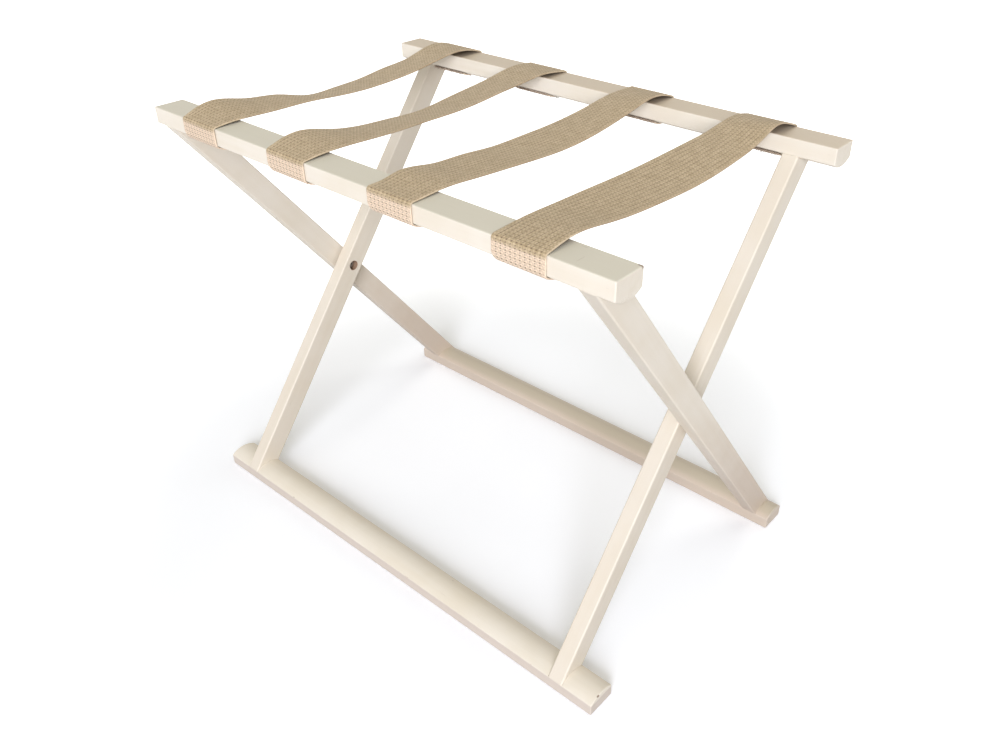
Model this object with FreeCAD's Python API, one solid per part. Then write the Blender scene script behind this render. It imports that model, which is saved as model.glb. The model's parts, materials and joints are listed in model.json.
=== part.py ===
import FreeCAD, Part

import math
import os

# A folding luggage bench. Two wooden frames cross like an X and turn on one bolt at each side,
# and four webbing straps join their top rails. The frame of the model has X along the rails
# (right +), Y across the bench (front -, rear +) and Z up, with its origin on the floor in the
# middle of the bench. The outer frame carries the front top rail and the rear foot rail, and the
# inner frame carries the rear top rail and the front foot rail.

# ------------------------------------------------------------------ driving dimensions, mm
# Rails: one moulding, flat on one face and domed on the other.
RAIL_LENGTH = 600.0
RAIL_WIDTH = 34.0
TOP_RAIL_SIDE = 17.0
FOOT_RAIL_SIDE = 14.0
RAIL_CROWN = 5.5
RAIL_EASING = 1.2

# Stance, as it stands open.
HEIGHT = 480.0
RAIL_SPACING = 350.0

# Legs.
LEG_THICKNESS = 18.0
LEG_WIDTH = 27.5
LEG_EASING = 2.0
LEG_INSET = 16.0
HOUSING_CLEARANCE = 0.1

# Dowels that hold each leg end in its rail.
DOWEL_DIAMETER = 8.0
DOWEL_IN_RAIL = 11.0
DOWEL_IN_LEG = 23.0
DOWEL_FIT = 0.05
DOWEL_RELIEF = 1.0

# Pivot bolt, its washers and the insert that it screws into.
BOLT_DIAMETER = 6.0
BOLT_LENGTH = 22.0
BOLT_HEAD_DIAMETER = 10.5
BOLT_HEAD_HEIGHT = 3.3
BOLT_HEAD_ROUND = 1.4
HEX_KEY = 4.0
HEX_DEPTH = 2.0
PIVOT_FIT = 0.08
COUNTERBORE_DIAMETER = 12.6
COUNTERBORE_DEPTH = 11.0
HEAD_WASHER_DIAMETER = 12.0
HEAD_WASHER_THICKNESS = 1.2
SPACER_DIAMETER = 18.0
SPACER_THICKNESS = 3.0
WASHER_PLAY = 0.05
WASHER_HOLE_CLEARANCE = 0.2
INSERT_DIAMETER = 9.0
INSERT_LENGTH = 12.0
INSERT_FIT = 0.05
INSERT_GROOVE_DEPTH = 0.5
INSERT_GROOVE_WIDTH = 1.2
INSERT_GROOVES = 3
BLIND_HOLE_RELIEF = 0.5

# Webbing straps, spread between the inner legs.
STRAP_COUNT = 4
STRAP_WIDTH = 55.0
STRAP_THICKNESS = 2.0
STRAP_LEFT_CLEARANCE = 0.9
STRAP_RIGHT_CLEARANCE = 7.9
STRAP_CLEARANCE = 0.3
STRAP_CUT_BACK = 1.0
STRAP_FRONT_LIFT = 4.5
STRAP_REAR_LIFT = 6.0
STRAP_SAG = 10.0
# A strap rises over the front rail to its full lift at the rail's inner edge. At the quarter
# stations, these shares of the half span from the middle, it has these shares of its sag.
STRAP_RISE_SHARE = 0.6
QUARTER_STATION = 0.6
FRONT_QUARTER_SAG = 0.3
REAR_QUARTER_SAG = 0.6

# Staples that hold each strap end under its rail.
STAPLE_COUNT = 3
STAPLE_PITCH = 18.0
STAPLE_CROWN = 12.0
STAPLE_WIRE = 1.2
STAPLE_BITE = 8.0
STAPLE_FIT = 0.1

# ------------------------------------------------------------------ derived sizes, mm
FOOT_SEAT = FOOT_RAIL_SIDE
TOP_SEAT = HEIGHT - TOP_RAIL_SIDE
PIVOT_HEIGHT = (FOOT_SEAT + TOP_SEAT) / 2.0
LEG_LEAN = math.degrees(math.atan2(RAIL_SPACING, TOP_SEAT - FOOT_SEAT))
LEG_GAP = SPACER_THICKNESS + 2.0 * WASHER_PLAY
OUTER_LEG_X = RAIL_LENGTH / 2.0 - LEG_INSET - LEG_THICKNESS / 2.0
INNER_LEG_X = OUTER_LEG_X - LEG_THICKNESS - LEG_GAP
INNER_FACE = INNER_LEG_X - LEG_THICKNESS / 2.0
HALF_WIDTH = RAIL_WIDTH / 2.0
HALF_SPACING = RAIL_SPACING / 2.0
CROWN_RADIUS = (HALF_WIDTH ** 2 + RAIL_CROWN ** 2) / (2.0 * RAIL_CROWN)
CROWN_ANGLE = math.asin(HALF_WIDTH / CROWN_RADIUS)
FIRST_STRAP_X = -INNER_FACE + STRAP_LEFT_CLEARANCE + STRAP_WIDTH / 2.0
LAST_STRAP_X = INNER_FACE - STRAP_RIGHT_CLEARANCE - STRAP_WIDTH / 2.0
STRAP_PITCH = (LAST_STRAP_X - FIRST_STRAP_X) / (STRAP_COUNT - 1)

FRONT = -1
REAR = 1
OUTER_LEAN = 1
INNER_LEAN = -1
SIDES = {"left": -1, "right": 1}
X_AXIS = FreeCAD.Vector(1.0, 0.0, 0.0)
OVERRUN = 5.0


def vector(x, y, z):
    return FreeCAD.Vector(x, y, z)


def box(x_low, x_high, y_low, y_high, z_low, z_high):
    """A block between two corners."""
    corner = vector(x_low, y_low, z_low)
    return Part.makeBox(x_high - x_low, y_high - y_low, z_high - z_low, corner)


def leg_axis(lean_sign):
    """Unit vector up a leg: the outer frame's legs lean to the front, the inner's to the rear."""
    lean = math.radians(LEG_LEAN)
    return vector(0.0, -lean_sign * math.sin(lean), math.cos(lean))


# ------------------------------------------------------------------ rails
def rail_blank(side_height, centre_y, flat_z, dome_way):
    """The moulding: flat at flat_z and domed up (dome_way 1) or down (-1), with eased edges."""
    def at(across, out):
        return vector(-RAIL_LENGTH / 2.0, centre_y + across, flat_z + dome_way * out)

    dome_ends = at(HALF_WIDTH, side_height), at(-HALF_WIDTH, side_height)
    dome = Part.Arc(dome_ends[0], at(0.0, side_height + RAIL_CROWN), dome_ends[1])
    outline = Part.Wire([
        Part.makeLine(at(-HALF_WIDTH, 0.0), at(HALF_WIDTH, 0.0)),
        Part.makeLine(at(HALF_WIDTH, 0.0), dome_ends[0]),
        dome.toShape(),
        Part.makeLine(dome_ends[1], at(-HALF_WIDTH, 0.0)),
    ])
    blank = Part.Face(outline).extrude(vector(RAIL_LENGTH, 0.0, 0.0))
    return blank.makeFillet(RAIL_EASING, blank.Edges)


def housing(leg_x, side_height, centre_y, flat_z, dome_way):
    """The flat slot across a rail's dome that a leg end seats in."""
    half = LEG_THICKNESS / 2.0 + HOUSING_CLEARANCE
    seat = flat_z + dome_way * side_height
    clear = flat_z + dome_way * (side_height + RAIL_CROWN + OVERRUN)
    reach = HALF_WIDTH + OVERRUN
    low, high = sorted((seat, clear))
    return box(leg_x - half, leg_x + half, centre_y - reach, centre_y + reach, low, high)


def rail(side_height, centre_y, flat_z, dome_way, leg_x, lean_sign):
    """A rail with a housing and a dowel hole for each of its two legs."""
    body = rail_blank(side_height, centre_y, flat_z, dome_way)
    for side in SIDES.values():
        body = body.cut(housing(side * leg_x, side_height, centre_y, flat_z, dome_way))
        hole = dowel_pin(side * leg_x, -dome_way, lean_sign, DOWEL_FIT, DOWEL_RELIEF)
        body = body.cut(hole)
    return body


def top_rail(place, leg_x, lean_sign):
    """A top rail, dome down, with the staple holes of every strap."""
    centre_y = place * HALF_SPACING
    body = rail(TOP_RAIL_SIDE, centre_y, HEIGHT, -1, leg_x, lean_sign)
    for number in range(STRAP_COUNT):
        for x in staple_stations(strap_x(number)):
            body = body.cut(staple_legs(x, centre_y, STAPLE_FIT))
    return body


def foot_rail(place, leg_x, lean_sign):
    """A foot rail, dome up, flat on the floor."""
    return rail(FOOT_RAIL_SIDE, place * HALF_SPACING, 0.0, 1, leg_x, lean_sign)


# ------------------------------------------------------------------ legs and their dowels
def leg_blank(leg_x, lean_sign):
    """A leg with eased long edges, cut level at its seats and flush with the rails' outer sides."""
    length = HEIGHT / math.cos(math.radians(LEG_LEAN))
    bar = box(
        leg_x - LEG_THICKNESS / 2.0,
        leg_x + LEG_THICKNESS / 2.0,
        -LEG_WIDTH / 2.0,
        LEG_WIDTH / 2.0,
        PIVOT_HEIGHT - length / 2.0,
        PIVOT_HEIGHT + length / 2.0,
    )
    long_edges = [edge for edge in bar.Edges if edge.Length > length - 1.0]
    bar = bar.makeFillet(LEG_EASING, long_edges)
    bar.rotate(vector(0.0, 0.0, PIVOT_HEIGHT), X_AXIS, lean_sign * LEG_LEAN)
    reach = HALF_SPACING + HALF_WIDTH
    between_seats = box(-RAIL_LENGTH, RAIL_LENGTH, -reach, reach, FOOT_SEAT, TOP_SEAT)
    return bar.common(between_seats)


def dowel_pin(leg_x, end, lean_sign, fit=0.0, relief=0.0):
    """A dowel along the leg's axis through its seat: end 1 is the top rail, -1 the foot rail."""
    up = leg_axis(lean_sign)
    along = up * end
    seat_z = TOP_SEAT if end > 0 else FOOT_SEAT
    seat = vector(leg_x, -lean_sign * end * HALF_SPACING, seat_z)
    start = seat - along * (DOWEL_IN_LEG + relief)
    length = DOWEL_IN_LEG + DOWEL_IN_RAIL + 2.0 * relief
    return Part.makeCylinder(DOWEL_DIAMETER / 2.0 + fit, length, start, along)


def dowels(leg_x, end, lean_sign):
    """The two dowels of one rail."""
    return Part.makeCompound([dowel_pin(side * leg_x, end, lean_sign) for side in SIDES.values()])


def bored_leg_ends(leg, leg_x, lean_sign):
    """The leg with a dowel hole in each end."""
    for end in (1, -1):
        leg = leg.cut(dowel_pin(leg_x, end, lean_sign, DOWEL_FIT, DOWEL_RELIEF))
    return leg


# ------------------------------------------------------------------ pivot
# Places along the pivot axis are counted from the inner leg's inner face, outwards.
WASHER_SEAT = COUNTERBORE_DEPTH - WASHER_PLAY
HEAD_SEAT = WASHER_SEAT - HEAD_WASHER_THICKNESS
SPACER_START = LEG_THICKNESS + WASHER_PLAY
OUTER_LEG_START = LEG_THICKNESS + LEG_GAP


def pivot_cylinder(side, diameter, start, stop):
    """A cylinder on the pivot axis between two places along it."""
    foot = vector(side * (INNER_FACE + start), 0.0, PIVOT_HEIGHT)
    return Part.makeCylinder(diameter / 2.0, stop - start, foot, X_AXIS * side)


def pivot_ring(side, diameter, hole, start, stop):
    """A ring on the pivot axis."""
    disc = pivot_cylinder(side, diameter, start, stop)
    return disc.cut(pivot_cylinder(side, hole, start - OVERRUN, stop + OVERRUN))


def inner_leg(side):
    """An inner leg: counterbored from inside for the bolt head, with a running bore."""
    leg = bored_leg_ends(leg_blank(side * INNER_LEG_X, INNER_LEAN), side * INNER_LEG_X, INNER_LEAN)
    leg = leg.cut(pivot_cylinder(side, COUNTERBORE_DIAMETER, -OVERRUN, COUNTERBORE_DEPTH))
    bore = BOLT_DIAMETER + 2.0 * PIVOT_FIT
    return leg.cut(pivot_cylinder(side, bore, -OVERRUN, LEG_THICKNESS + OVERRUN))


def outer_leg(side):
    """An outer leg: a blind hole from inside for the insert, and a plain outer face."""
    leg = bored_leg_ends(leg_blank(side * OUTER_LEG_X, OUTER_LEAN), side * OUTER_LEG_X, OUTER_LEAN)
    hole = INSERT_DIAMETER + 2.0 * INSERT_FIT
    depth = OUTER_LEG_START + INSERT_LENGTH + BLIND_HOLE_RELIEF
    return leg.cut(pivot_cylinder(side, hole, OUTER_LEG_START - OVERRUN, depth))


def hex_socket(side):
    """The six-sided hole in the bolt's head."""
    corner = HEX_KEY / math.sqrt(3.0)
    x = side * (INNER_FACE + HEAD_SEAT - BOLT_HEAD_HEIGHT - OVERRUN)
    corners = []
    for step in range(7):
        turn = math.radians(60.0 * step)
        corners.append(vector(x, corner * math.cos(turn), PIVOT_HEIGHT + corner * math.sin(turn)))
    face = Part.Face(Part.makePolygon(corners))
    return face.extrude(X_AXIS * side * (OVERRUN + HEX_DEPTH))


def pivot_bolt(side):
    """A button-head bolt with a hex socket."""
    head = pivot_cylinder(side, BOLT_HEAD_DIAMETER, HEAD_SEAT - BOLT_HEAD_HEIGHT, HEAD_SEAT)
    crown_x = side * (INNER_FACE + HEAD_SEAT - BOLT_HEAD_HEIGHT)
    crown = [edge for edge in head.Edges if abs(edge.BoundBox.Center.x - crown_x) < 1e-6]
    head = head.makeFillet(BOLT_HEAD_ROUND, crown)
    shank = pivot_cylinder(side, BOLT_DIAMETER, HEAD_SEAT, HEAD_SEAT + BOLT_LENGTH)
    return head.fuse(shank).removeSplitter().cut(hex_socket(side))


def head_washer(side):
    """The washer under the bolt's head, in the counterbore."""
    hole = BOLT_DIAMETER + 2.0 * WASHER_HOLE_CLEARANCE
    return pivot_ring(side, HEAD_WASHER_DIAMETER, hole, HEAD_SEAT, WASHER_SEAT)


def spacer_washer(side):
    """The washer that keeps the two legs of one side apart."""
    hole = BOLT_DIAMETER + 2.0 * WASHER_HOLE_CLEARANCE
    return pivot_ring(side, SPACER_DIAMETER, hole, SPACER_START, SPACER_START + SPACER_THICKNESS)


def threaded_insert(side):
    """The insert in the outer leg, with grooves round it that grip the wood."""
    bore = BOLT_DIAMETER + 2.0 * INSERT_FIT
    stop = OUTER_LEG_START + INSERT_LENGTH
    body = pivot_ring(side, INSERT_DIAMETER, bore, OUTER_LEG_START, stop)
    root = INSERT_DIAMETER - 2.0 * INSERT_GROOVE_DEPTH
    pitch = INSERT_LENGTH / (INSERT_GROOVES + 1)
    for number in range(1, INSERT_GROOVES + 1):
        start = OUTER_LEG_START + number * pitch - INSERT_GROOVE_WIDTH / 2.0
        rim = INSERT_DIAMETER + OVERRUN
        body = body.cut(pivot_ring(side, rim, root, start, start + INSERT_GROOVE_WIDTH))
    return body


# ------------------------------------------------------------------ straps and staples
def strap_x(number):
    """The middle of strap number 0, 1, 2... from the left."""
    return FIRST_STRAP_X + number * STRAP_PITCH


def strap_skin(offset):
    """One face of a strap in the YZ plane, offset from the rails, front cut end to rear."""
    def at(place, out, height):
        return vector(0.0, place * (HALF_SPACING + out), height)

    def round_corner(place, out, height, start, stop):
        """An arc of radius offset about a rail corner; angles are from outwards, up +."""
        points = []
        for turn in (start, (start + stop) / 2.0, stop):
            shift = vector(0.0, place * offset * math.cos(turn), offset * math.sin(turn))
            points.append(at(place, out, height) + shift)
        return Part.Arc(*points).toShape()

    def under_dome(place):
        """The stretch under a rail, from its cut end near the inner edge to the outer crease."""
        centre = TOP_SEAT - RAIL_CROWN + CROWN_RADIUS
        radius = CROWN_RADIUS + offset
        first = -math.asin((HALF_WIDTH - STRAP_CUT_BACK) / CROWN_RADIUS)
        points = []
        for turn in (first, (first + CROWN_ANGLE) / 2.0, CROWN_ANGLE):
            points.append(at(place, radius * math.sin(turn), centre - radius * math.cos(turn)))
        return Part.Arc(*points).toShape()

    def wrap(place):
        """From the cut end, under the dome, up the outer side and round the top corner."""
        down = CROWN_ANGLE - math.pi / 2.0
        return [
            under_dome(place),
            round_corner(place, HALF_WIDTH, TOP_SEAT, down, 0.0),
            Part.makeLine(at(place, HALF_WIDTH + offset, TOP_SEAT),
                          at(place, HALF_WIDTH + offset, HEIGHT)),
            round_corner(place, HALF_WIDTH, HEIGHT, 0.0, math.pi / 2.0),
        ]

    edge = HALF_SPACING - HALF_WIDTH
    quarter = edge * QUARTER_STATION
    lifts = [
        (-HALF_SPACING - HALF_WIDTH, 0.0),
        (-HALF_SPACING, STRAP_FRONT_LIFT * STRAP_RISE_SHARE),
        (-edge, STRAP_FRONT_LIFT),
        (-quarter, -STRAP_SAG * FRONT_QUARTER_SAG),
        (0.0, -STRAP_SAG),
        (quarter, -STRAP_SAG * REAR_QUARTER_SAG),
        (edge, 0.0),
        (HALF_SPACING, STRAP_REAR_LIFT),
        (HALF_SPACING + HALF_WIDTH, 0.0),
    ]
    top = Part.BSplineCurve()
    top.interpolate([vector(0.0, y, HEIGHT + offset + lift) for y, lift in lifts])
    return Part.Wire(Part.__sortEdges__(wrap(FRONT) + [top.toShape()] + wrap(REAR)))


def strap(number):
    """A strap: a band of webbing over both top rails, wrapped round their outer sides."""
    inner = strap_skin(STRAP_CLEARANCE)
    outer = strap_skin(STRAP_CLEARANCE + STRAP_THICKNESS)
    ends = []
    for place in (FRONT, REAR):
        ends.append(Part.makeLine(cut_end(inner, place), cut_end(outer, place)))
    outline = Part.Wire(Part.__sortEdges__(inner.Edges + outer.Edges + ends))
    band = Part.Face(outline).extrude(vector(STRAP_WIDTH, 0.0, 0.0))
    band.translate(vector(strap_x(number) - STRAP_WIDTH / 2.0, 0.0, 0.0))
    for place in (FRONT, REAR):
        for x in staple_stations(strap_x(number)):
            band = band.cut(staple_legs(x, place * HALF_SPACING, STAPLE_FIT))
    return band


def cut_end(skin, place):
    """The end point of a strap's face at the front or the rear rail."""
    ends = [skin.OrderedVertexes[0].Point, skin.OrderedVertexes[-1].Point]
    return max(ends, key=lambda point: place * point.y)


def staple_stations(middle):
    """The places along X of the staples of a strap end."""
    return [middle + (n - (STAPLE_COUNT - 1) / 2.0) * STAPLE_PITCH for n in range(STAPLE_COUNT)]


STRAP_UNDERSIDE = TOP_SEAT - RAIL_CROWN - STRAP_CLEARANCE - STRAP_THICKNESS
CROWN_TOP = STRAP_UNDERSIDE - STAPLE_FIT


def staple_legs(x, centre_y, fit=0.0):
    """The two legs of a staple, from its crown up into the rail, widened by fit for their holes."""
    top = TOP_SEAT - RAIL_CROWN + STAPLE_BITE + fit
    half = STAPLE_WIRE / 2.0 + fit
    legs = []
    for side in SIDES.values():
        leg_x = x + side * (STAPLE_CROWN - STAPLE_WIRE) / 2.0
        legs.append(box(leg_x - half, leg_x + half, centre_y - half, centre_y + half,
                        CROWN_TOP - STAPLE_WIRE, top))
    return Part.makeCompound(legs)


def staples(number, place):
    """The staples of one strap end, each a crown across the webbing with two legs."""
    centre_y = place * HALF_SPACING
    half = STAPLE_WIRE / 2.0
    made = []
    for x in staple_stations(strap_x(number)):
        crown = box(x - STAPLE_CROWN / 2.0, x + STAPLE_CROWN / 2.0, centre_y - half,
                    centre_y + half, CROWN_TOP - STAPLE_WIRE, CROWN_TOP)
        made.append(crown.fuse(staple_legs(x, centre_y).Solids).removeSplitter())
    return Part.makeCompound(made)


# ------------------------------------------------------------------ the whole bench
def parts():
    """Every named piece with its shape."""
    made = {
        "front_top_rail": top_rail(FRONT, OUTER_LEG_X, OUTER_LEAN),
        "rear_foot_rail": foot_rail(REAR, OUTER_LEG_X, OUTER_LEAN),
        "rear_top_rail": top_rail(REAR, INNER_LEG_X, INNER_LEAN),
        "front_foot_rail": foot_rail(FRONT, INNER_LEG_X, INNER_LEAN),
        "front_top_dowels": dowels(OUTER_LEG_X, 1, OUTER_LEAN),
        "rear_foot_dowels": dowels(OUTER_LEG_X, -1, OUTER_LEAN),
        "rear_top_dowels": dowels(INNER_LEG_X, 1, INNER_LEAN),
        "front_foot_dowels": dowels(INNER_LEG_X, -1, INNER_LEAN),
    }
    for name, side in SIDES.items():
        made["outer_leg_" + name] = outer_leg(side)
        made["inner_leg_" + name] = inner_leg(side)
        made["pivot_bolt_" + name] = pivot_bolt(side)
        made["head_washer_" + name] = head_washer(side)
        made["spacer_washer_" + name] = spacer_washer(side)
        made["threaded_insert_" + name] = threaded_insert(side)
    for number in range(STRAP_COUNT):
        label = str(number + 1)
        made["webbing_strap_" + label] = strap(number)
        made["front_staples_" + label] = staples(number, FRONT)
        made["rear_staples_" + label] = staples(number, REAR)
    return made


os.makedirs("parts", exist_ok=True)
for node, shape in parts().items():
    shape.exportStep("parts/" + node + ".step")
    print(node, len(shape.Solids), "solids,", round(shape.Volume / 1000.0, 3), "cm3")
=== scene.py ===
"""Looks of a folding luggage bench: two painted wooden frames and four webbing straps.

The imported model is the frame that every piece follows. Lengths are in metres, X runs along the rails
(right +), Y from the front to the rear and Z up from the floor.
"""

import json
import logging
import math
from dataclasses import dataclass, field
from enum import Enum

import bpy
import numpy as np
from mathutils import Matrix, Vector


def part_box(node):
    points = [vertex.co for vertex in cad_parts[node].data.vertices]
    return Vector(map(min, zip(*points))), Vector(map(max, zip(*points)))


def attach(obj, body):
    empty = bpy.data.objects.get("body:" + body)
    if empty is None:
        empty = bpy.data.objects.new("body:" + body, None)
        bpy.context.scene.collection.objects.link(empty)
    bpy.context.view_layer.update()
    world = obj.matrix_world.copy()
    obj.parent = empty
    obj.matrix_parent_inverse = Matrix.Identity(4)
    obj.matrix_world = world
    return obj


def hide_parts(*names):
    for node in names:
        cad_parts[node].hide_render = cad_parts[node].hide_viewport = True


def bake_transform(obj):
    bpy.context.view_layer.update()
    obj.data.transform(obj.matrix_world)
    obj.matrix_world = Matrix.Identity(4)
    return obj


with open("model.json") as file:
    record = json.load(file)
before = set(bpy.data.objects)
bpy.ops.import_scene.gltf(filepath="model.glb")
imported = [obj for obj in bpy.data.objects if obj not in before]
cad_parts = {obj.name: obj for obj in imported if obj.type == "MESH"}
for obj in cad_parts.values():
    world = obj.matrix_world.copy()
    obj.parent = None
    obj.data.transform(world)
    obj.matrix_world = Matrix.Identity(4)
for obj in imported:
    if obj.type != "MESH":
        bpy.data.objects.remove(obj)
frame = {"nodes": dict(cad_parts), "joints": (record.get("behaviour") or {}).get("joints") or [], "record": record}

LOG = logging.getLogger("luggage_bench")
Array = np.ndarray
Colour = tuple[float, float, float]
Point = tuple[float, float, float]
Span = tuple[float, float]
MM = 0.001
FULL_TURN = 2.0 * math.pi
BLACK = (0.0, 0.0, 0.0)
WHITE = (1.0, 1.0, 1.0)
TOP_RAILS = ("front_top_rail", "rear_top_rail")


class Side(Enum):
    """The two long sides of the bench."""

    FRONT = -1
    REAR = 1


class Hand(Enum):
    """The two ends of the bench."""

    LEFT = -1
    RIGHT = 1


class Slot(Enum):
    """Material slots of the record."""

    PAINT = "cream_paint"
    BEECH = "bare_beech"
    WEBBING = "webbing"
    ZINC = "zinc_steel"
    WIRE = "staple_wire"
    BRASS = "brass_insert"
    NYLON = "nylon"


# ------------------------------------------------------------------ shader building
class Value:
    """A number in a shader. Arithmetic on it adds the Math nodes that work it out."""

    def __init__(self, tree: "Tree", socket: bpy.types.NodeSocket) -> None:
        """Keeps the socket and the tree that it is in."""
        self.tree = tree
        self.socket = socket

    def __add__(self, other: "Value | float") -> "Value":
        """This plus other."""
        return self.tree.maths("ADD", self, other)

    __radd__ = __add__

    def __sub__(self, other: "Value | float") -> "Value":
        """This minus other."""
        return self.tree.maths("SUBTRACT", self, other)

    def __rsub__(self, other: float) -> "Value":
        """Other minus this."""
        return self.tree.maths("SUBTRACT", other, self)

    def __mul__(self, other: "Value | float") -> "Value":
        """This times other."""
        return self.tree.maths("MULTIPLY", self, other)

    __rmul__ = __mul__

    def __truediv__(self, other: "Value | float") -> "Value":
        """This divided by other."""
        return self.tree.maths("DIVIDE", self, other)

    def __rtruediv__(self, other: float) -> "Value":
        """Other divided by this."""
        return self.tree.maths("DIVIDE", other, self)

    def __abs__(self) -> "Value":
        """This without its sign."""
        return self.tree.maths("ABSOLUTE", self)


class Tree:
    """A node tree under construction."""

    def __init__(self, node_tree: bpy.types.NodeTree) -> None:
        """Empties the tree."""
        self.nodes = node_tree.nodes
        self.links = node_tree.links
        self.nodes.clear()

    def node(self, kind: str, settings: dict | None = None, inputs: dict | None = None) -> bpy.types.Node:
        """Adds a node.

        Args:
            kind: the node's type, such as ShaderNodeMath.
            settings: its properties, set before its sockets.
            inputs: values or links of its sockets, by name or index.

        Returns:
            The node.
        """
        made = self.nodes.new(kind)
        for name, value in (settings or {}).items():
            setattr(made, name, value)
        for key, value in (inputs or {}).items():
            self.feed(made.inputs[key], value)
        return made

    def feed(self, socket: bpy.types.NodeSocket, value: object) -> None:
        """Links a Value or a socket to an input, or sets the input to a constant.

        Args:
            socket: the input.
            value: a Value, an output socket, a number, a colour or a vector.
        """
        if isinstance(value, Value):
            self.links.new(value.socket, socket)
        elif isinstance(value, bpy.types.NodeSocket):
            self.links.new(value, socket)
        elif socket.type == "RGBA":
            socket.default_value = (*value, 1.0)
        else:
            socket.default_value = value

    def maths(self, operation: str, *operands: Value | float) -> Value:
        """The result of a Math node on the operands."""
        made = self.node("ShaderNodeMath", {"operation": operation}, dict(enumerate(operands)))
        return Value(self, made.outputs[0])

    def fraction(self, value: Value) -> Value:
        """What is left of value above the whole number below it."""
        return self.maths("FRACT", value)

    def cosine(self, value: Value) -> Value:
        """The cosine of value in radians."""
        return self.maths("COSINE", value)

    def sine(self, value: Value) -> Value:
        """The sine of value in radians."""
        return self.maths("SINE", value)

    def greatest(self, first: Value, second: Value | float) -> Value:
        """The larger of two values."""
        return self.maths("MAXIMUM", first, second)

    def least(self, first: Value, second: Value | float) -> Value:
        """The smaller of two values."""
        return self.maths("MINIMUM", first, second)

    def rise(self, value: Value, low: float, high: float) -> Value:
        """A smooth step.

        Args:
            value: what it depends on.
            low: where it is still 0, which may be above high.
            high: where it has reached 1.

        Returns:
            The step.
        """
        inputs = {"Value": value, "From Min": low, "From Max": high}
        made = self.node("ShaderNodeMapRange", {"interpolation_type": "SMOOTHSTEP"}, inputs)
        return Value(self, made.outputs["Result"])

    def noise(self, vector: bpy.types.NodeSocket, scale: float | Point, detail: float = 2.0,
              roughness: float = 0.5) -> Value:
        """Noise from 0 to 1.

        Args:
            vector: where it is read.
            scale: its features in a metre, or such a number for each axis.
            detail: how many finer layers it has.
            roughness: how strong they are.

        Returns:
            The noise.
        """
        if isinstance(scale, tuple):
            vector, scale = self.stretched(vector, scale), 1.0
        inputs = {"Vector": vector, "Scale": scale, "Detail": detail, "Roughness": roughness}
        return Value(self, self.node("ShaderNodeTexNoise", {}, inputs).outputs[0])

    def stretched(self, vector: bpy.types.NodeSocket, factors: Point) -> bpy.types.NodeSocket:
        """The vector with each part multiplied by a factor, to draw a pattern out along an axis."""
        inputs = {0: vector, 1: factors}
        return self.node("ShaderNodeVectorMath", {"operation": "MULTIPLY"}, inputs).outputs[0]

    def parts(self, vector: bpy.types.NodeSocket) -> tuple[Value, Value, Value]:
        """The three parts of a vector."""
        made = self.node("ShaderNodeSeparateXYZ", {}, {0: vector})
        return tuple(Value(self, output) for output in made.outputs)

    def vector(self, x: Value | float, y: Value | float, z: Value | float) -> bpy.types.NodeSocket:
        """A vector from its three parts."""
        return self.node("ShaderNodeCombineXYZ", {}, {0: x, 1: y, 2: z}).outputs[0]

    def distance(self, vector: bpy.types.NodeSocket, place: Point) -> Value:
        """How far a vector is from a place."""
        made = self.node("ShaderNodeVectorMath", {"operation": "DISTANCE"}, {0: vector, 1: place})
        return Value(self, made.outputs["Value"])

    def blend(self, factor: Value, first: object, second: object) -> bpy.types.NodeSocket:
        """A colour from first, where factor is 0, to second, where it is 1."""
        made = self.node("ShaderNodeMix", {"data_type": "RGBA"}, {0: factor, 6: first, 7: second})
        return made.outputs[2]

    def object_place(self) -> bpy.types.NodeSocket:
        """The point being shaded, in the object's own coordinates."""
        return self.node("ShaderNodeTexCoord").outputs["Object"]

    def relief(self, height_mm: Value) -> bpy.types.NodeSocket:
        """The normal of a surface raised by a height in millimetres."""
        inputs = {"Strength": 1.0, "Distance": MM, "Height": height_mm}
        return self.node("ShaderNodeBump", {}, inputs).outputs[0]

    def finish(self, constants: dict, varied: dict) -> None:
        """Ends the tree in one principled shader.

        Args:
            constants: sockets that are the same all over the surface.
            varied: sockets with a link.
        """
        shader = self.node("ShaderNodeBsdfPrincipled", {}, {**constants, **varied})
        self.node("ShaderNodeOutputMaterial", {}, {"Surface": shader.outputs[0]})


def new_material(name: str) -> tuple[bpy.types.Material, Tree]:
    """Starts a material.

    Args:
        name: its name.

    Returns:
        The material and its empty tree.
    """
    material = bpy.data.materials.new(name)
    material.use_nodes = True
    return material, Tree(material.node_tree)


def dress(node: str, material: bpy.types.Material) -> None:
    """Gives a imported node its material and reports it.

    Args:
        node: the node's name.
        material: the material.
    """
    piece = frame["nodes"][node]
    piece.data.materials.clear()
    piece.data.materials.append(material)
    LOG.info("%s: %s", node, material.name)


def add_object(name: str, data: bpy.types.ID) -> bpy.types.Object:
    """Puts a mesh, a lamp or a camera into the scene.

    Args:
        name: the object's name.
        data: the mesh, or the lamp's or the camera's data.

    Returns:
        The object, at the origin.
    """
    made = bpy.data.objects.new(name, data)
    bpy.context.scene.collection.objects.link(made)
    return made


# ------------------------------------------------------------------ finishes
@dataclass(frozen=True)
class Nick:
    """A knock or scuff in the paint: a patch with a ragged rim, drawn out along an axis where it is a scuff.

    Attributes:
        place: its middle.
        reach: half its size along X, Y and Z.
        bare: how much of the wood it shows, from 0 to 1.
        depth_mm: how deep it is, in millimetres.
    """

    place: Point
    reach: Point
    bare: float
    depth_mm: float


@dataclass(frozen=True)
class Tone:
    """A tint that comes in with height: painted shade on a rail's flat top or on a foot rail's side, a darkening
    near the floor, or a cast over a whole leg.

    Attributes:
        colour: its colour.
        clean: the height at which it begins.
        full: the height from which it is complete.
        amount: its share there, from 0 to 1.
    """

    colour: Colour
    clean: float
    full: float
    amount: float


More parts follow.
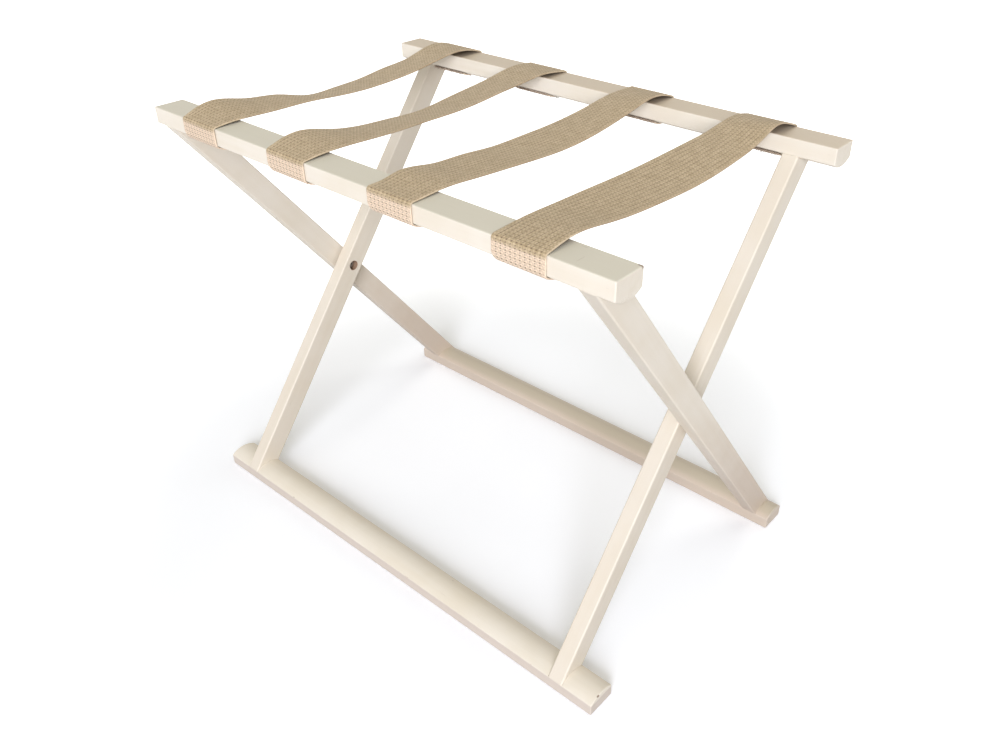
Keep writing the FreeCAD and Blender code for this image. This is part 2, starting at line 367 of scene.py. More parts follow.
@dataclass(frozen=True)
class Cover:
    """What lies over a rail's flat top, and the stain and painted shade on the paint beneath it.

    Attributes:
        middles: the straps' middles along the rail.
        half: half the width of the stain and painted shade.
        top: the height of the flat top.
    """

    middles: tuple[float, ...]
    half: float
    top: float


@dataclass(frozen=True)
class Billet:
    """The straight-sided stick that a painted piece was cut from, for patterns that run along it.

    Attributes:
        centre: the middle of the stick.
        turn: the rotation that lays the stick's length along X and its width along Y.
        half: half its length, width and thickness.
    """

    centre: Vector
    turn: Matrix
    half: Point


@dataclass(frozen=True)
class Bore:
    """The counterbore of the pivot in an inner leg.

    Attributes:
        hand: the end of the bench that the leg is at.
        radius: its radius.
    """

    hand: Hand
    radius: float


@dataclass(frozen=True)
class CreamPaint:
    """Satin cream paint, brushed along the wood, a little aged, with paler edges: rubbed paint and a painted
    highlight.

    A share is how much of a colour shows where its mask is full, and a span is the two values between which
    a mask rises. A wander is how far noise moves a mask's rim from side to side: tint_wander as a share of
    the tint's rise, nick_wander in reaches of the nick and stain_and_shade_wander in metres. A rim is the width
    over which a mask comes in. Depths are how far below the top, or inside the leg's inner face, one begins and is
    full. Scales, grain, brush, scuff and figure are features in a metre. Reliefs are in millimetres.
    aged_grain, chip_rag and chip_patch are how much a noise counts in a mask. The roughness fields are the
    paint's own roughness and what a noise or a mask adds to it.
    """

    colour: Colour = (0.80, 0.742, 0.640)
    aged: Colour = (0.745, 0.672, 0.545)
    # Paler edges: rubbed paint and a painted highlight.
    rubbed_highlight: Colour = (0.87, 0.815, 0.725)
    grime: Colour = (0.42, 0.35, 0.27)
    # Stain and painted shade on the rail tops under the straps.
    stain_and_shade: Colour = (0.26, 0.17, 0.10)
    wood: Colour = (0.45, 0.30, 0.20)
    dark_wood: Colour = (0.20, 0.115, 0.07)
    aged_share: float = 0.75
    stain_and_shade_share: float = 0.30
    rubbed_highlight_share: float = 0.13
    scuffed_share: float = 0.28
    chipped_share: float = 0.55
    aged_span: Span = (0.55, 1.05)
    rubbed_highlight_span: Span = (0.3, 0.6)
    scuffed_span: Span = (0.66, 0.82)
    chipped_span: Span = (0.72, 0.8)
    aged_grain: float = 0.5
    chip_rag: float = 0.6
    chip_patch: float = 0.6
    nick_span: Span = (1.0, 0.5)
    tone_scale: float = 14.0
    patch_scale: float = 38.0
    rag_scale: float = 700.0
    peel_scale: float = 1100.0
    grain: Point = (6.0, 150.0, 150.0)
    brush: Point = (9.0, 420.0, 420.0)
    scuff: Point = (40.0, 260.0, 260.0)
    figure: Point = (60.0, 900.0, 900.0)
    tint_wander: float = 0.33
    nick_wander: float = 1.2
    stain_and_shade_wander: float = 2.0 * MM
    stain_and_shade_rim: float = 4.0 * MM
    stain_and_shade_depths: Span = (0.8 * MM, 0.2 * MM)
    bore_depths: Span = (0.1 * MM, 0.5 * MM)
    bore_rim: float = 0.25 * MM
    edge_width: float = 1.5 * MM
    chip_width: float = 0.9 * MM
    grain_relief: float = 0.03
    brush_relief: float = 0.022
    peel_relief: float = 0.008
    chip_relief: float = -0.06
    scuff_relief: float = -0.015
    roughness: float = 0.43
    grain_roughness: float = 0.10
    scuff_roughness: float = 0.12
    chip_roughness: float = 0.20
    nick_roughness: float = 0.25
    bore_roughness: float = 0.35

    def local(self, tree: Tree, billet: Billet) -> bpy.types.NodeSocket:
        """The shaded point along, across and through the stick.

        Args:
            tree: the material's tree.
            billet: the stick.

        Returns:
            The vector's socket.
        """
        shift = -(billet.turn @ billet.centre)
        inputs = {"Vector": tree.object_place(), "Location": tuple(shift),
                  "Rotation": tuple(billet.turn.to_euler("XYZ"))}
        return tree.node("ShaderNodeMapping", {"vector_type": "POINT"}, inputs).outputs[0]

    def edge_mask(self, tree: Tree, local: bpy.types.NodeSocket, half: Point, width: float) -> Value:
        """The stick's edges.

        A point is near an edge where it is near two of the stick's faces at once, so the mask is the sum of
        the products of the three nearnesses.

        Args:
            tree: the material's tree.
            local: the shaded point along, across and through the stick.
            half: half the stick's length, width and thickness.
            width: how far the mask reaches.

        Returns:
            1 along the edges and 0 a width away from them.
        """
        near = []
        for part, reach in zip(tree.parts(local), half):
            near.append(tree.rise(abs(part), reach - width, reach))
        return tree.least(near[0] * near[1] + near[1] * near[2] + near[0] * near[2], 1.0)

    def bore_mask(self, tree: Tree, local: bpy.types.NodeSocket, half: Point, bore: Bore) -> Value:
        """The bare wood of the counterbore.

        Args:
            tree: the material's tree.
            local: the shaded point along, across and through the leg.
            half: half the leg's length, width and thickness.
            bore: the counterbore.

        Returns:
            1 on the bore's wall and floor, inside the leg's inner face.
        """
        along, across, through = tree.parts(local)
        from_axis = tree.maths("SQRT", along * along + across * across)
        depth = through * float(bore.hand.value)
        inside = tree.rise(depth, *(step - half[2] for step in self.bore_depths))
        return tree.rise(from_axis, bore.radius + self.bore_rim, bore.radius) * inside

    def stain_and_shade_mask(self, tree: Tree, cover: Cover, ragged: Value) -> Value:
        """The stain and painted shade on the paint under the straps.

        Args:
            tree: the material's tree.
            cover: the straps over the rail.
            ragged: noise that makes the stain's rim uneven.

        Returns:
            1 on the flat top under each strap, with a soft rim.
        """
        along, _, up = tree.parts(tree.object_place())
        on_top = tree.rise(up, *(cover.top - step for step in self.stain_and_shade_depths))
        under = None
        for middle in cover.middles:
            off = abs(along - middle) + (ragged - 0.5) * self.stain_and_shade_wander
            here = tree.rise(off, cover.half, cover.half - self.stain_and_shade_rim)
            under = here if under is None else tree.greatest(under, here)
        return under * on_top

    def material(self, name: str, billet: Billet, tones: tuple[Tone, ...], cover: Cover | None = None,
                 nicks: tuple[Nick, ...] = (), bore: Bore | None = None) -> bpy.types.Material:
        """The paint on one piece.

        Args:
            name: the material's name.
            billet: the stick that the piece was cut from.
            tones: tints that come in with height.
            cover: what lies over its top, or None.
            nicks: its knocks.
            bore: its counterbore, or None.

        Returns:
            The material.
        """
        material, tree = new_material(name)
        local = self.local(tree, billet)
        tone = tree.noise(local, self.tone_scale, 3.0, 0.6)
        grain = tree.noise(local, self.grain, 3.0, 0.6)
        brush = tree.noise(local, self.brush)
        peel = tree.noise(local, self.peel_scale, 1.0)
        scuffs = tree.noise(local, self.scuff, 4.0, 0.7)
        ragged = tree.noise(local, self.rag_scale, 3.0, 0.7)
        patches = tree.noise(local, self.patch_scale)

        aging = tree.rise(tone + grain * self.aged_grain, *self.aged_span)
        colour = tree.blend(aging * self.aged_share, self.colour, self.aged)
        _, _, up = tree.parts(tree.object_place())
        for tint in tones:
            uneven = (tone - 0.5) * (self.tint_wander * (tint.full - tint.clean))
            mask = tree.rise(up + uneven, tint.clean, tint.full)
            colour = tree.blend(mask * tint.amount, colour, tint.colour)
        # Stain and painted shade on the flat top under each strap.
        if cover is not None:
            under = self.stain_and_shade_mask(tree, cover, patches)
            colour = tree.blend(under * self.stain_and_shade_share, colour, self.stain_and_shade)
        # Paler edges: rubbed paint and a painted highlight.
        rubbed_highlight = self.edge_mask(tree, local, billet.half, self.edge_width)
        rubbed_highlight = rubbed_highlight * tree.rise(patches, *self.rubbed_highlight_span)
        colour = tree.blend(rubbed_highlight * self.rubbed_highlight_share, colour, self.rubbed_highlight)
        scuffed = tree.rise(scuffs, *self.scuffed_span)
        colour = tree.blend(scuffed * self.scuffed_share, colour, self.grime)
        chipped = self.edge_mask(tree, local, billet.half, self.chip_width)
        broken = ragged * self.chip_rag + patches * self.chip_patch
        chipped = chipped * tree.rise(broken, *self.chipped_span)
        colour = tree.blend(chipped * self.chipped_share, colour, self.wood)

        height = grain * self.grain_relief + brush * self.brush_relief + peel * self.peel_relief
        height = height + chipped * self.chip_relief + scuffed * self.scuff_relief
        rough = self.roughness + grain * self.grain_roughness
        rough = rough + scuffed * self.scuff_roughness + chipped * self.chip_roughness
        for nick in nicks:
            scale = tuple(1.0 / reach for reach in nick.reach)
            middle = tuple(part / reach for part, reach in zip(nick.place, nick.reach))
            apart = tree.distance(tree.stretched(tree.object_place(), scale), middle)
            hit = tree.rise(apart + (ragged - 0.5) * self.nick_wander, *self.nick_span)
            colour = tree.blend(hit * nick.bare, colour, self.dark_wood)
            height = height - hit * nick.depth_mm
            rough = rough + hit * self.nick_roughness
        if bore is not None:
            bare = self.bore_mask(tree, local, billet.half, bore)
            figure = tree.noise(local, self.figure, 3.0)
            colour = tree.blend(bare, colour, tree.blend(figure, self.wood, self.dark_wood))
            rough = rough + bare * self.bore_roughness
        tree.finish({"IOR": 1.46},
                    {"Base Color": colour, "Roughness": rough, "Normal": tree.relief(height)})
        return material


@dataclass(frozen=True)
class Weave:
    """The cloth of the webbing: pairs of lengthwise bundles, crossed by picks in a plain weave.

    Attributes:
        pair: width of a pair of bundles, from groove to groove.
        pick: distance from one crossing yarn to the next.
        bundle: distance of a bundle's middle from the middle of its pair.
        bundle_half: half the width of a bundle.
        pick_half: half the width of a pick.
        swing: how far a yarn rises and falls as it passes over and under.
        bundle_round: how far a bundle's sides fall away from its crown.
        pick_round: how far a pick's sides fall away from its crown.
    """

    pair: float = 4.9 * MM
    pick: float = 2.1 * MM
    bundle: float = 1.17 * MM
    bundle_half: float = 1.26 * MM
    pick_half: float = 1.12 * MM
    swing: float = 0.12 * MM
    bundle_round: float = 0.45 * MM
    pick_round: float = 0.31 * MM

    def relief(self, across: Array, along: Array) -> Array:
        """How far the woven surface lies below its crowns, as a negative height.

        A bundle rises and falls as a cosine of the place along it, with the other bundle of its pair half a
        turn behind, and its section is a half ellipse. A pick does the same across the bundles. The surface
        is the higher of the two.

        Args:
            across: places across the strap, 0 in the middle of a pair.
            along: places along the strap.

        Returns:
            The heights, in an array of the two shapes' broadcast.
        """
        local = (across / self.pair + 0.5) % 1.0 * self.pair - self.pair / 2.0
        hand = np.where(local < 0.0, -1.0, 1.0)
        off_bundle = (np.abs(local) - self.bundle) / self.bundle_half
        bundle = np.sqrt(np.clip(1.0 - off_bundle ** 2, 0.0, 1.0)) * self.bundle_round
        bundle = bundle + self.swing * hand * np.cos(np.pi * along / self.pick)
        number = np.round(along / self.pick)
        parity = 1.0 - 2.0 * (number % 2.0)
        off_pick = (along - number * self.pick) / self.pick_half
        pick = np.sqrt(np.clip(1.0 - off_pick ** 2, 0.0, 1.0)) * self.pick_round
        pick = pick - self.swing * parity * np.sin(np.pi * local / (2.0 * self.bundle))
        crown = self.bundle_round + self.swing
        return np.maximum(bundle, pick) - crown


@dataclass(frozen=True)
class WebbingCloth:
    """Tan cotton webbing: coarse bundles, with painted shade in the pits between them.

    Shares, spans and reliefs are as in the paint, and wanders and rims are in metres. wrap_light_rim is half the
    width over which the mask of the wraps' painted light comes in. The threads fields are features in a
    metre across and along the cloth, and the layer of noise that they are read from. The light fields are how
    much a noise, or the crown of a bundle, counts in the yarns' lightness; the crown's share is painted light
    and shade of the weave, and crown_wrap_highlight is what a crown adds to wrap_light_share, the wraps' painted
    light. The shade fields are how much painted shade a pit, a gap and a split get, and a beat is what the sine of
    the picks adds to that. lean slants the grooves, and crown_lag the crowns. The even colour's share is
    worn_least plus worn_cloud times a noise. over_rail is how far beyond its wrap the cloth still counts as on
    the rail.
    """

    weave: Weave = Weave()
    colour: Colour = (0.480, 0.372, 0.226)
    pale: Colour = (0.715, 0.575, 0.380)
    tan: Colour = (0.370, 0.275, 0.152)
    # Painted light: the lighter colour of the wraps.
    wrap_light: Colour = (0.965, 0.775, 0.605)
    # Painted shade in the weave's pits and the yarns' twist valleys.
    painted_pit_shade: Colour = (0.130, 0.080, 0.050)
    # inside is painted shade on the lower face near the rails.
    inside: Colour = (0.085, 0.055, 0.032)
    edge: Colour = (0.860, 0.740, 0.590)
    # soiled darkens the rim along the span and the cut ends: partly dirt, partly painted shade.
    soiled: Colour = (0.300, 0.210, 0.145)
    yarn_light: Colour = (0.800, 0.660, 0.530)
    yarn_dark: Colour = (0.230, 0.165, 0.130)
    wrap_light_share: float = 0.68
    edge_share: float = 0.26
    soiled_share: float = 0.42
    end_dark_share: float = 0.7
    inside_shade_share: float = 0.75
    selvedge_span: Span = (26.2 * MM, 26.8 * MM)
    rim_span: Span = (26.9 * MM, 27.4 * MM)
    end_dark_span: Span = (5.0 * MM, 0.5 * MM)
    groove_span: Span = (0.32, 0.45)
    split_span: Span = (0.10, 0.0)
    gap_span: Span = (0.12, 0.40)
    light_span: Span = (0.30, 0.72)
    lengthwise_light: float = 0.5
    crosswise_light: float = 0.5
    fleck_light: float = 0.5
    dirt_span: Span = (0.42, 0.62)
    valley_span: Span = (0.2, -1.0)
    valley_share: float = 0.4
    over_rail: float = 46.0 * MM
    over_rail_rim: float = 12.0 * MM
    wrap_light_rim: float = 2.0 * MM
    wrap_light_wander: float = 3.0 * MM
    end_dark_wander: float = 2.0 * MM
    lean: float = 0.10
    pit_shade: float = 0.88
    pit_beat: float = 0.10
    gap_shade: float = 0.17
    split_shade: float = 0.34
    split_beat: float = -0.08
    crown_lag: float = 1.1
    # Painted highlight and shade of the bundles' crowns.
    crown_highlight: float = 0.34
    crown_wrap_highlight: float = 0.18
    worn_least: float = 0.25
    worn_cloud: float = 0.3
    lengthwise_threads: Point = (420.0, 60.0, 0.0)
    crosswise_threads: Point = (60.0, 480.0, 3.0)
    fleck_threads: Point = (1500.0, 900.0, 7.0)
    cloud_threads: Point = (22.0, 22.0, 5.0)
    dirt_scale: float = 900.0
    twist_slant: float = 0.7
    twist_pitch: float = 0.62 * MM
    yarn_pitch: float = 0.5 * MM
    fleck_relief: float = 0.10
    twist_relief: float = 0.025
    stitch_relief: float = 0.06
    pit_relief: float = -0.22
    yarn_relief: float = 0.05

    def threads(self, tree: Tree, across: Value, along: Value, scale: Point) -> Value:
        """Noise drawn out along the cloth's threads.

        Args:
            tree: the material's tree.
            across: the place across the cloth.
            along: the place along it.
            scale: features in a metre across and along, and the layer.

        Returns:
            The noise.
        """
        return tree.noise(tree.vector(across * scale[0], along * scale[1], scale[2]), 1.0)

    def shade(self, tree: Tree, in_pair: Value, picks: Value) -> Value:
        """How much painted shade the weave's gaps get.

        A pit lies where the groove between two pairs crosses the gap between two picks. The gap alone, and
        the split between a pair's bundles where it crosses the gap, are fainter. A sine of the picks makes
        every other row of them darker.

        Args:
            tree: the material's tree.
            in_pair: the place across a pair, from -0.5 to 0.5.
            picks: how many picks the place is from the strap's start.

        Returns:
            The painted shade, from 0 to 1.
        """
        in_pick = tree.fraction(picks + 0.5) - 0.5
        beat = tree.sine(picks * math.pi)
        off = abs(in_pair + in_pick * self.lean)
        groove = tree.rise(off, *self.groove_span)
        split = tree.rise(off, *self.split_span)
        gap = tree.rise(abs(in_pick), *self.gap_span)
        painted_pit_shade = groove * gap * (self.pit_shade + beat * self.pit_beat)
        seam = split * gap * (self.split_shade + beat * self.split_beat)
        return tree.greatest(painted_pit_shade, tree.greatest(gap * self.gap_shade, seam))

    def material(self, name: str, length: float, wrapped: float) -> bpy.types.Material:
        """The cloth, drawn on the strap's own coordinates: across and along, in metres.

        The wraps get painted light, which makes them lighter than the span between the rails.

        Args:
            name: the material's name.
            length: the strap's length.
            wrapped: how much of each end is wrapped round a rail.

        Returns:
            The material.
        """
        material, tree = new_material(name)
        weave = self.weave
        across, along, _ = tree.parts(tree.node("ShaderNodeUVMap", {"uv_map": "cloth"}).outputs[0])
        in_pair = tree.fraction(across / weave.pair + 0.5) - 0.5
        picks = along / weave.pick
        selvedge = tree.rise(abs(across), *self.selvedge_span)
        open_cloth = 1.0 - selvedge
        shade = self.shade(tree, in_pair, picks) * open_cloth
        # Painted light and shade of the weave: lighter where a bundle rides over a pick, darker where it dips
        # under.
        side = tree.maths("SIGN", in_pair)
        phase = picks + abs(in_pair) * side * self.crown_lag
        crown = tree.cosine(phase * math.pi) * side * open_cloth

        yarn = self.threads(tree, across, along, self.lengthwise_threads)
        cross_yarn = self.threads(tree, across, along, self.crosswise_threads)
        flecks = self.threads(tree, across, along, self.fleck_threads)
        cloud = self.threads(tree, across, along, self.cloud_threads)
        light = yarn * self.lengthwise_light + cross_yarn * self.crosswise_light
        light = tree.rise(light + (flecks - 0.5) * self.fleck_light, *self.light_span)
        colour = tree.blend(light + crown * self.crown_highlight, self.tan, self.pale)
        colour = tree.blend(self.worn_least + cloud * self.worn_cloud, colour, self.colour)

        # Painted light on the wraps round the rails, with more of it on the crowns.
        from_end = length / 2.0 - abs(along - length / 2.0)
        wavy = from_end + (cloud - 0.5) * self.wrap_light_wander
        wrap_lit = tree.rise(wavy, wrapped + self.wrap_light_rim, wrapped - self.wrap_light_rim)
        colour = tree.blend(wrap_lit * (self.wrap_light_share + crown * self.crown_wrap_highlight), colour, self.wrap_light)
        reach = wrapped + self.over_rail
        on_rail = tree.rise(from_end, reach, reach - self.over_rail_rim)
        rim = tree.rise(abs(across), *self.rim_span)
        colour = tree.blend(rim * on_rail * self.edge_share, colour, self.edge)
        # A darker rim along the span and darker cut ends: partly dirt, partly painted shade at the edges and under
        # the rails.
        colour = tree.blend(rim * (1.0 - on_rail) * self.soiled_share, colour, self.soiled)
        end_dark = tree.rise(from_end + (flecks - 0.5) * self.end_dark_wander, *self.end_dark_span)
        colour = tree.blend(end_dark * self.end_dark_share, colour, self.soiled)
        # Painted shade in the pits, gaps and splits of the weave.
        colour = tree.blend(shade, colour, self.painted_pit_shade)
        # Painted shade on the lower face near the rails, which deepens the gap under the arch.
        inner = tree.node("ShaderNodeAttribute", {"attribute_name": "inner_face"}).outputs["Fac"]
        colour = tree.blend(Value(tree, inner) * on_rail * self.inside_shade_share, colour, self.inside)

        twist = tree.cosine((across + along * self.twist_slant) * (FULL_TURN / self.twist_pitch))
        stitch = tree.cosine(along * (FULL_TURN / weave.pick)) * selvedge
        height = flecks * self.fleck_relief + twist * self.twist_relief
        height = height + stitch * self.stitch_relief + shade * self.pit_relief
        tree.finish({"Roughness": 0.88, "IOR": 1.4, "Sheen Weight": 0.12, "Sheen Roughness": 0.5},
                    {"Base Color": colour, "Normal": tree.relief(height)})
        return material

    def yarn_material(self, name: str) -> bpy.types.Material:
        """The loose yarns at the cut ends, twisted and soiled, with painted shade in the twist's valleys.

        Args:
            name: the material's name.

        Returns:
            The material.
        """
        material, tree = new_material(name)
        place = tree.object_place()
        x, y, z = tree.parts(place)
        dirt = tree.noise(place, self.dirt_scale, 3.0, 0.6)
        twist = tree.cosine((x + y + z) * (FULL_TURN / self.yarn_pitch))
        colour = tree.blend(tree.rise(dirt, *self.dirt_span), self.yarn_light, self.yarn_dark)
        # Painted shade in the valleys of the twist.
        valley = tree.rise(twist, *self.valley_span)
        colour = tree.blend(valley * self.valley_share, colour, self.painted_pit_shade)
        height = (twist + dirt) * self.yarn_relief
        tree.finish({"Roughness": 0.9, "IOR": 1.4},
                    {"Base Color": colour, "Normal": tree.relief(height)})
        return material


@dataclass(frozen=True)
class BareBeech:
    """Unpainted beech, with fine flecks along the grain.

    Figure and pore are features in a metre, and reliefs are in millimetres.
    """

    light: Colour = (0.60, 0.42, 0.26)
    dark: Colour = (0.43, 0.27, 0.15)
    figure: Point = (700.0, 700.0, 90.0)
    pore: Point = (2600.0, 2600.0, 500.0)
    pore_span: Span = (0.56, 0.68)
    pore_share: float = 0.4
    figure_relief: float = 0.03
    pore_relief: float = -0.04
    roughness: float = 0.55
    figure_roughness: float = 0.2

    def material(self, name: str) -> bpy.types.Material:
        """The wood.

        Args:
            name: the material's name.

        Returns:
            The material.
        """
        material, tree = new_material(name)
        place = tree.object_place()
        figure = tree.noise(place, self.figure, 4.0, 0.6)
        pores = tree.rise(tree.noise(place, self.pore), *self.pore_span)
        colour = tree.blend(figure, self.light, self.dark)
        colour = tree.blend(pores * self.pore_share, colour, self.dark)
        height = figure * self.figure_relief + pores * self.pore_relief
        rough = self.roughness + figure * self.figure_roughness
        tree.finish({"IOR": 1.45},
                    {"Base Color": colour, "Roughness": rough, "Normal": tree.relief(height)})
        return material


@dataclass(frozen=True)
class Metal:
    """A metal with a fine drawn or plated surface.

    Attributes:
        bright: its colour where it is clean.
        dull: its colour where it has tarnished.
        roughness: its least roughness.
        tarnish_roughness: what tarnish adds to it.
        scratch_roughness: what scratches add to it.
        tarnish_span: the bloom at which tarnish begins and is complete.
        bloom_scale: the bloom's features in a metre.
        scratch: the scratches' features in a metre.
        bloom_relief: height of the bloom, in millimetres.
        scratch_relief: height of the scratches, in millimetres.
    """

    bright: Colour
    dull: Colour
    roughness: float
    tarnish_roughness: float = 0.22
    scratch_roughness: float = 0.12
    tarnish_span: Span = (0.42, 0.68)
    bloom_scale: float = 420.0
    scratch: Point = (300.0, 2400.0, 2400.0)
    bloom_relief: float = 0.008
    scratch_relief: float = 0.012

    def material(self, name: str) -> bpy.types.Material:
        """The metal.

        Args:
            name: the material's name.

        Returns:
            The material.
        """
        material, tree = new_material(name)
        place = tree.object_place()
        bloom = tree.noise(place, self.bloom_scale, 4.0, 0.65)
        scratches = tree.noise(place, self.scratch)
        tarnish = tree.rise(bloom, *self.tarnish_span)
        colour = tree.blend(tarnish, self.bright, self.dull)
        height = scratches * self.scratch_relief + bloom * self.bloom_relief
        rough = self.roughness + tarnish * self.tarnish_roughness + scratches * self.scratch_roughness
        tree.finish({"Metallic": 1.0},
                    {"Base Color": colour, "Roughness": rough, "Normal": tree.relief(height)})
        return material


@dataclass(frozen=True)
class Nylon:
    """Natural nylon, faintly mottled and turned on its faces.

    Scales are features in a metre, and the relief is in millimetres.
    """

    clean: Colour = (0.74, 0.71, 0.63)
    soiled: Colour = (0.55, 0.51, 0.43)
    mottle_scale: float = 260.0
    grit_scale: float = 3200.0
    soiled_span: Span = (0.45, 0.75)
    soiled_share: float = 0.6
    grit_relief: float = 0.02
    roughness: float = 0.48
    mottle_roughness: float = 0.15

    def material(self, name: str) -> bpy.types.Material:
        """The plastic.

        Args:
            name: the material's name.

        Returns:
            The material.
        """
        material, tree = new_material(name)
        place = tree.object_place()
        mottle = tree.noise(place, self.mottle_scale, 3.0)
        grit = tree.noise(place, self.grit_scale, 1.0)
        dirt = tree.rise(mottle, *self.soiled_span)
        colour = tree.blend(dirt * self.soiled_share, self.clean, self.soiled)
        rough = self.roughness + mottle * self.mottle_roughness
        height = grit * self.grit_relief
        tree.finish({"IOR": 1.53},
                    {"Base Color": colour, "Roughness": rough, "Normal": tree.relief(height)})
        return material


# ------------------------------------------------------------------ wooden frames
@dataclass
class WoodenFrames:
    """The painted rails and legs of both frames.

    Attributes:
        paint: their paint.
        leg_width: width of a leg across its lean.
        bore_radius: radius of the counterbore in an inner leg.
        front_top_shade: painted shade on the front top rail's flat top.
        brown_cast_and_top_shade: painted shade on the rear top rail's flat top, and a brown cast on the inner
            legs.
        low_darkening: the darkening low on the legs and on the rear foot rail.
        pink_cast_and_side_shade: painted shade on the front foot rail's side, and a pink cast on the outer legs.
        dome_top_darkening: a darkening on the top of the rear foot rail's dome.
        top_shade_depths: how far below a flat top its painted shade begins and is full.
        leg_darkening: the heights at which a leg's darkening begins and is full.
        cover_margin: how far inside a strap's edge its stain and painted shade end.
        nicks: knocks of each piece, by its node.
    """

    paint: CreamPaint = CreamPaint()
    leg_width: float = 27.5 * MM
    bore_radius: float = 6.3 * MM
    # Tints: painted shade on the top rails' flat tops and the front foot rail's side, a darkening low down and on
    # the rear foot rail's dome, and casts over the legs.
    front_top_shade: Colour = (0.62, 0.585, 0.480)
    brown_cast_and_top_shade: Colour = (0.56, 0.465, 0.345)
    low_darkening: Colour = (0.56, 0.455, 0.365)
    pink_cast_and_side_shade: Colour = (0.63, 0.55, 0.475)
    dome_top_darkening: Colour = (0.49, 0.437, 0.325)
    top_shade_depths: Span = (0.9 * MM, 0.15 * MM)
    leg_darkening: Span = (0.30, 0.05)
    cover_margin: float = 0.5 * MM
    nicks: dict[str, tuple[Nick, ...]] = field(default_factory=lambda: {
        "front_top_rail": (
            Nick((0.2990, -0.1590, 0.4795), (4.6 * MM, 2.4 * MM, 2.0 * MM), 0.80, 0.20),
            Nick((0.2590, -0.1800, 0.4800), (0.5 * MM, 7.0 * MM, 1.0 * MM), 0.16, 0.05),
            Nick((0.2490, -0.1620, 0.4800), (4.0 * MM, 1.0 * MM, 1.0 * MM), 0.12, 0.04),
        ),
        "front_foot_rail": (
            Nick((0.0836, -0.1640, 0.0173), (1.3 * MM, 1.0 * MM, 1.5 * MM), 0.30, 0.12),
            Nick((-0.1685, -0.1920, 0.0145), (2.2 * MM, 1.0 * MM, 1.2 * MM), 0.45, 0.20),
            Nick((0.2997, -0.1808, 0.0187), (1.2 * MM, 2.2 * MM, 1.8 * MM), 0.85, 0.25),
        ),
    })

    def rail_billet(self, node: str, crease: float) -> Billet:
        """The stick of a rail, from its flat face to the crease where its dome begins.

        Args:
            node: the rail.
            crease: the height of the crease.

        Returns:
            The stick.
        """
        low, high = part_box(node)
        flat = low.z if low.z < crease / 2.0 else high.z
        centre = Vector(((low.x + high.x) / 2.0, (low.y + high.y) / 2.0, (flat + crease) / 2.0))
        half = ((high.x - low.x) / 2.0, (high.y - low.y) / 2.0, abs(flat - crease) / 2.0)
        return Billet(centre, Matrix.Identity(3), half)

    def leg_billet(self, node: str, lean: float) -> Billet:
        """The stick of a leg, turned about the pivot so that its length is along X.

        It is twice as long as the leg, so that the edges of its ends, which would get the paler edges, lie beyond
        it.

        Args:
            node: the leg.
            lean: the angle from upright, + to the front.

        Returns:
            The stick.
        """
        low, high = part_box(node)
        length = (high.z - low.z) / math.cos(lean)
        centre = Vector(((low.x + high.x) / 2.0, 0.0, frame["joints"][0]["pos_m"][2]))
        turn = Matrix((
            (0.0, -math.sin(lean), math.cos(lean)),
            (0.0, math.cos(lean), math.sin(lean)),
            (-1.0, 0.0, 0.0),
        ))
        return Billet(centre, turn, (length, self.leg_width / 2.0, (high.x - low.x) / 2.0))

    def cover(self, top: float) -> Cover:
        """What lies over a top rail: the four straps.

        Args:
            top: the height of its flat top.

        Returns:
            The cover, which is the same for both top rails.
        """
        boxes = [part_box("webbing_strap_%d" % number) for number in (1, 2, 3, 4)]
        middles = tuple((low.x + high.x) / 2.0 for low, high in boxes)
        half = min(high.x - low.x for low, high in boxes) / 2.0 - self.cover_margin
        return Cover(middles, half, top)

    def dress(self) -> None:
        """Paints every rail and leg."""
        foot_seat, top_seat = (corner.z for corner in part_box("outer_leg_left"))
        front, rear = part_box("front_top_rail"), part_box("rear_top_rail")
        spacing = (rear[0].y + rear[1].y - front[0].y - front[1].y) / 2.0
        lean = math.atan2(spacing, top_seat - foot_seat)
        top = front[1].z
        top_shade_heights = tuple(top - depth for depth in self.top_shade_depths)
        # Painted shade on the top rails' flat tops and on the front foot rail's side; the rear foot rail is darker
        # low down and on its dome's top.
        rails = {
            "front_top_rail": (Tone(self.front_top_shade, *top_shade_heights, 0.90),),
            "rear_top_rail": (Tone(self.brown_cast_and_top_shade, *top_shade_heights, 0.86),),
            # Painted shade on the front foot rail's side.
            "front_foot_rail": (Tone(self.pink_cast_and_side_shade, foot_seat + 0.5 * MM, foot_seat - 1.5 * MM, 0.92),),
            # The rear foot rail is darker low down and on its dome's top.
            "rear_foot_rail": (Tone(self.low_darkening, 3.0 * foot_seat, 2.0 * foot_seat, 0.76),
                               Tone(self.dome_top_darkening, foot_seat + 1.0 * MM, foot_seat + 4.8 * MM, 0.66)),
        }
        cover = self.cover(top)
        for node, tones in rails.items():
            covered = node in TOP_RAILS
            billet = self.rail_billet(node, top_seat if covered else foot_seat)
            paint = self.paint.material("paint_" + node, billet, tones, cover if covered else None,
                                        self.nicks.get(node, ()))
            dress(node, paint)
        # A pink cast over the outer legs and a brown one over the inner legs, each darker towards the floor.
        all_over = (2.0 * top_seat, top_seat)
        outer_tones = (Tone(self.pink_cast_and_side_shade, *all_over, 0.10), Tone(self.low_darkening, *self.leg_darkening, 0.75))
        inner_tones = (Tone(self.brown_cast_and_top_shade, *all_over, 0.16), Tone(self.low_darkening, *self.leg_darkening, 0.08))
        for hand in Hand:
            bore = Bore(hand, self.bore_radius)
            legs = (("outer_leg_", lean, outer_tones, None), ("inner_leg_", -lean, inner_tones, bore))
            for stem, slope, tones, hole in legs:
                node = stem + hand.name.lower()
                billet = self.leg_billet(node, slope)
                dress(node, self.paint.material("paint_" + node, billet, tones, bore=hole))


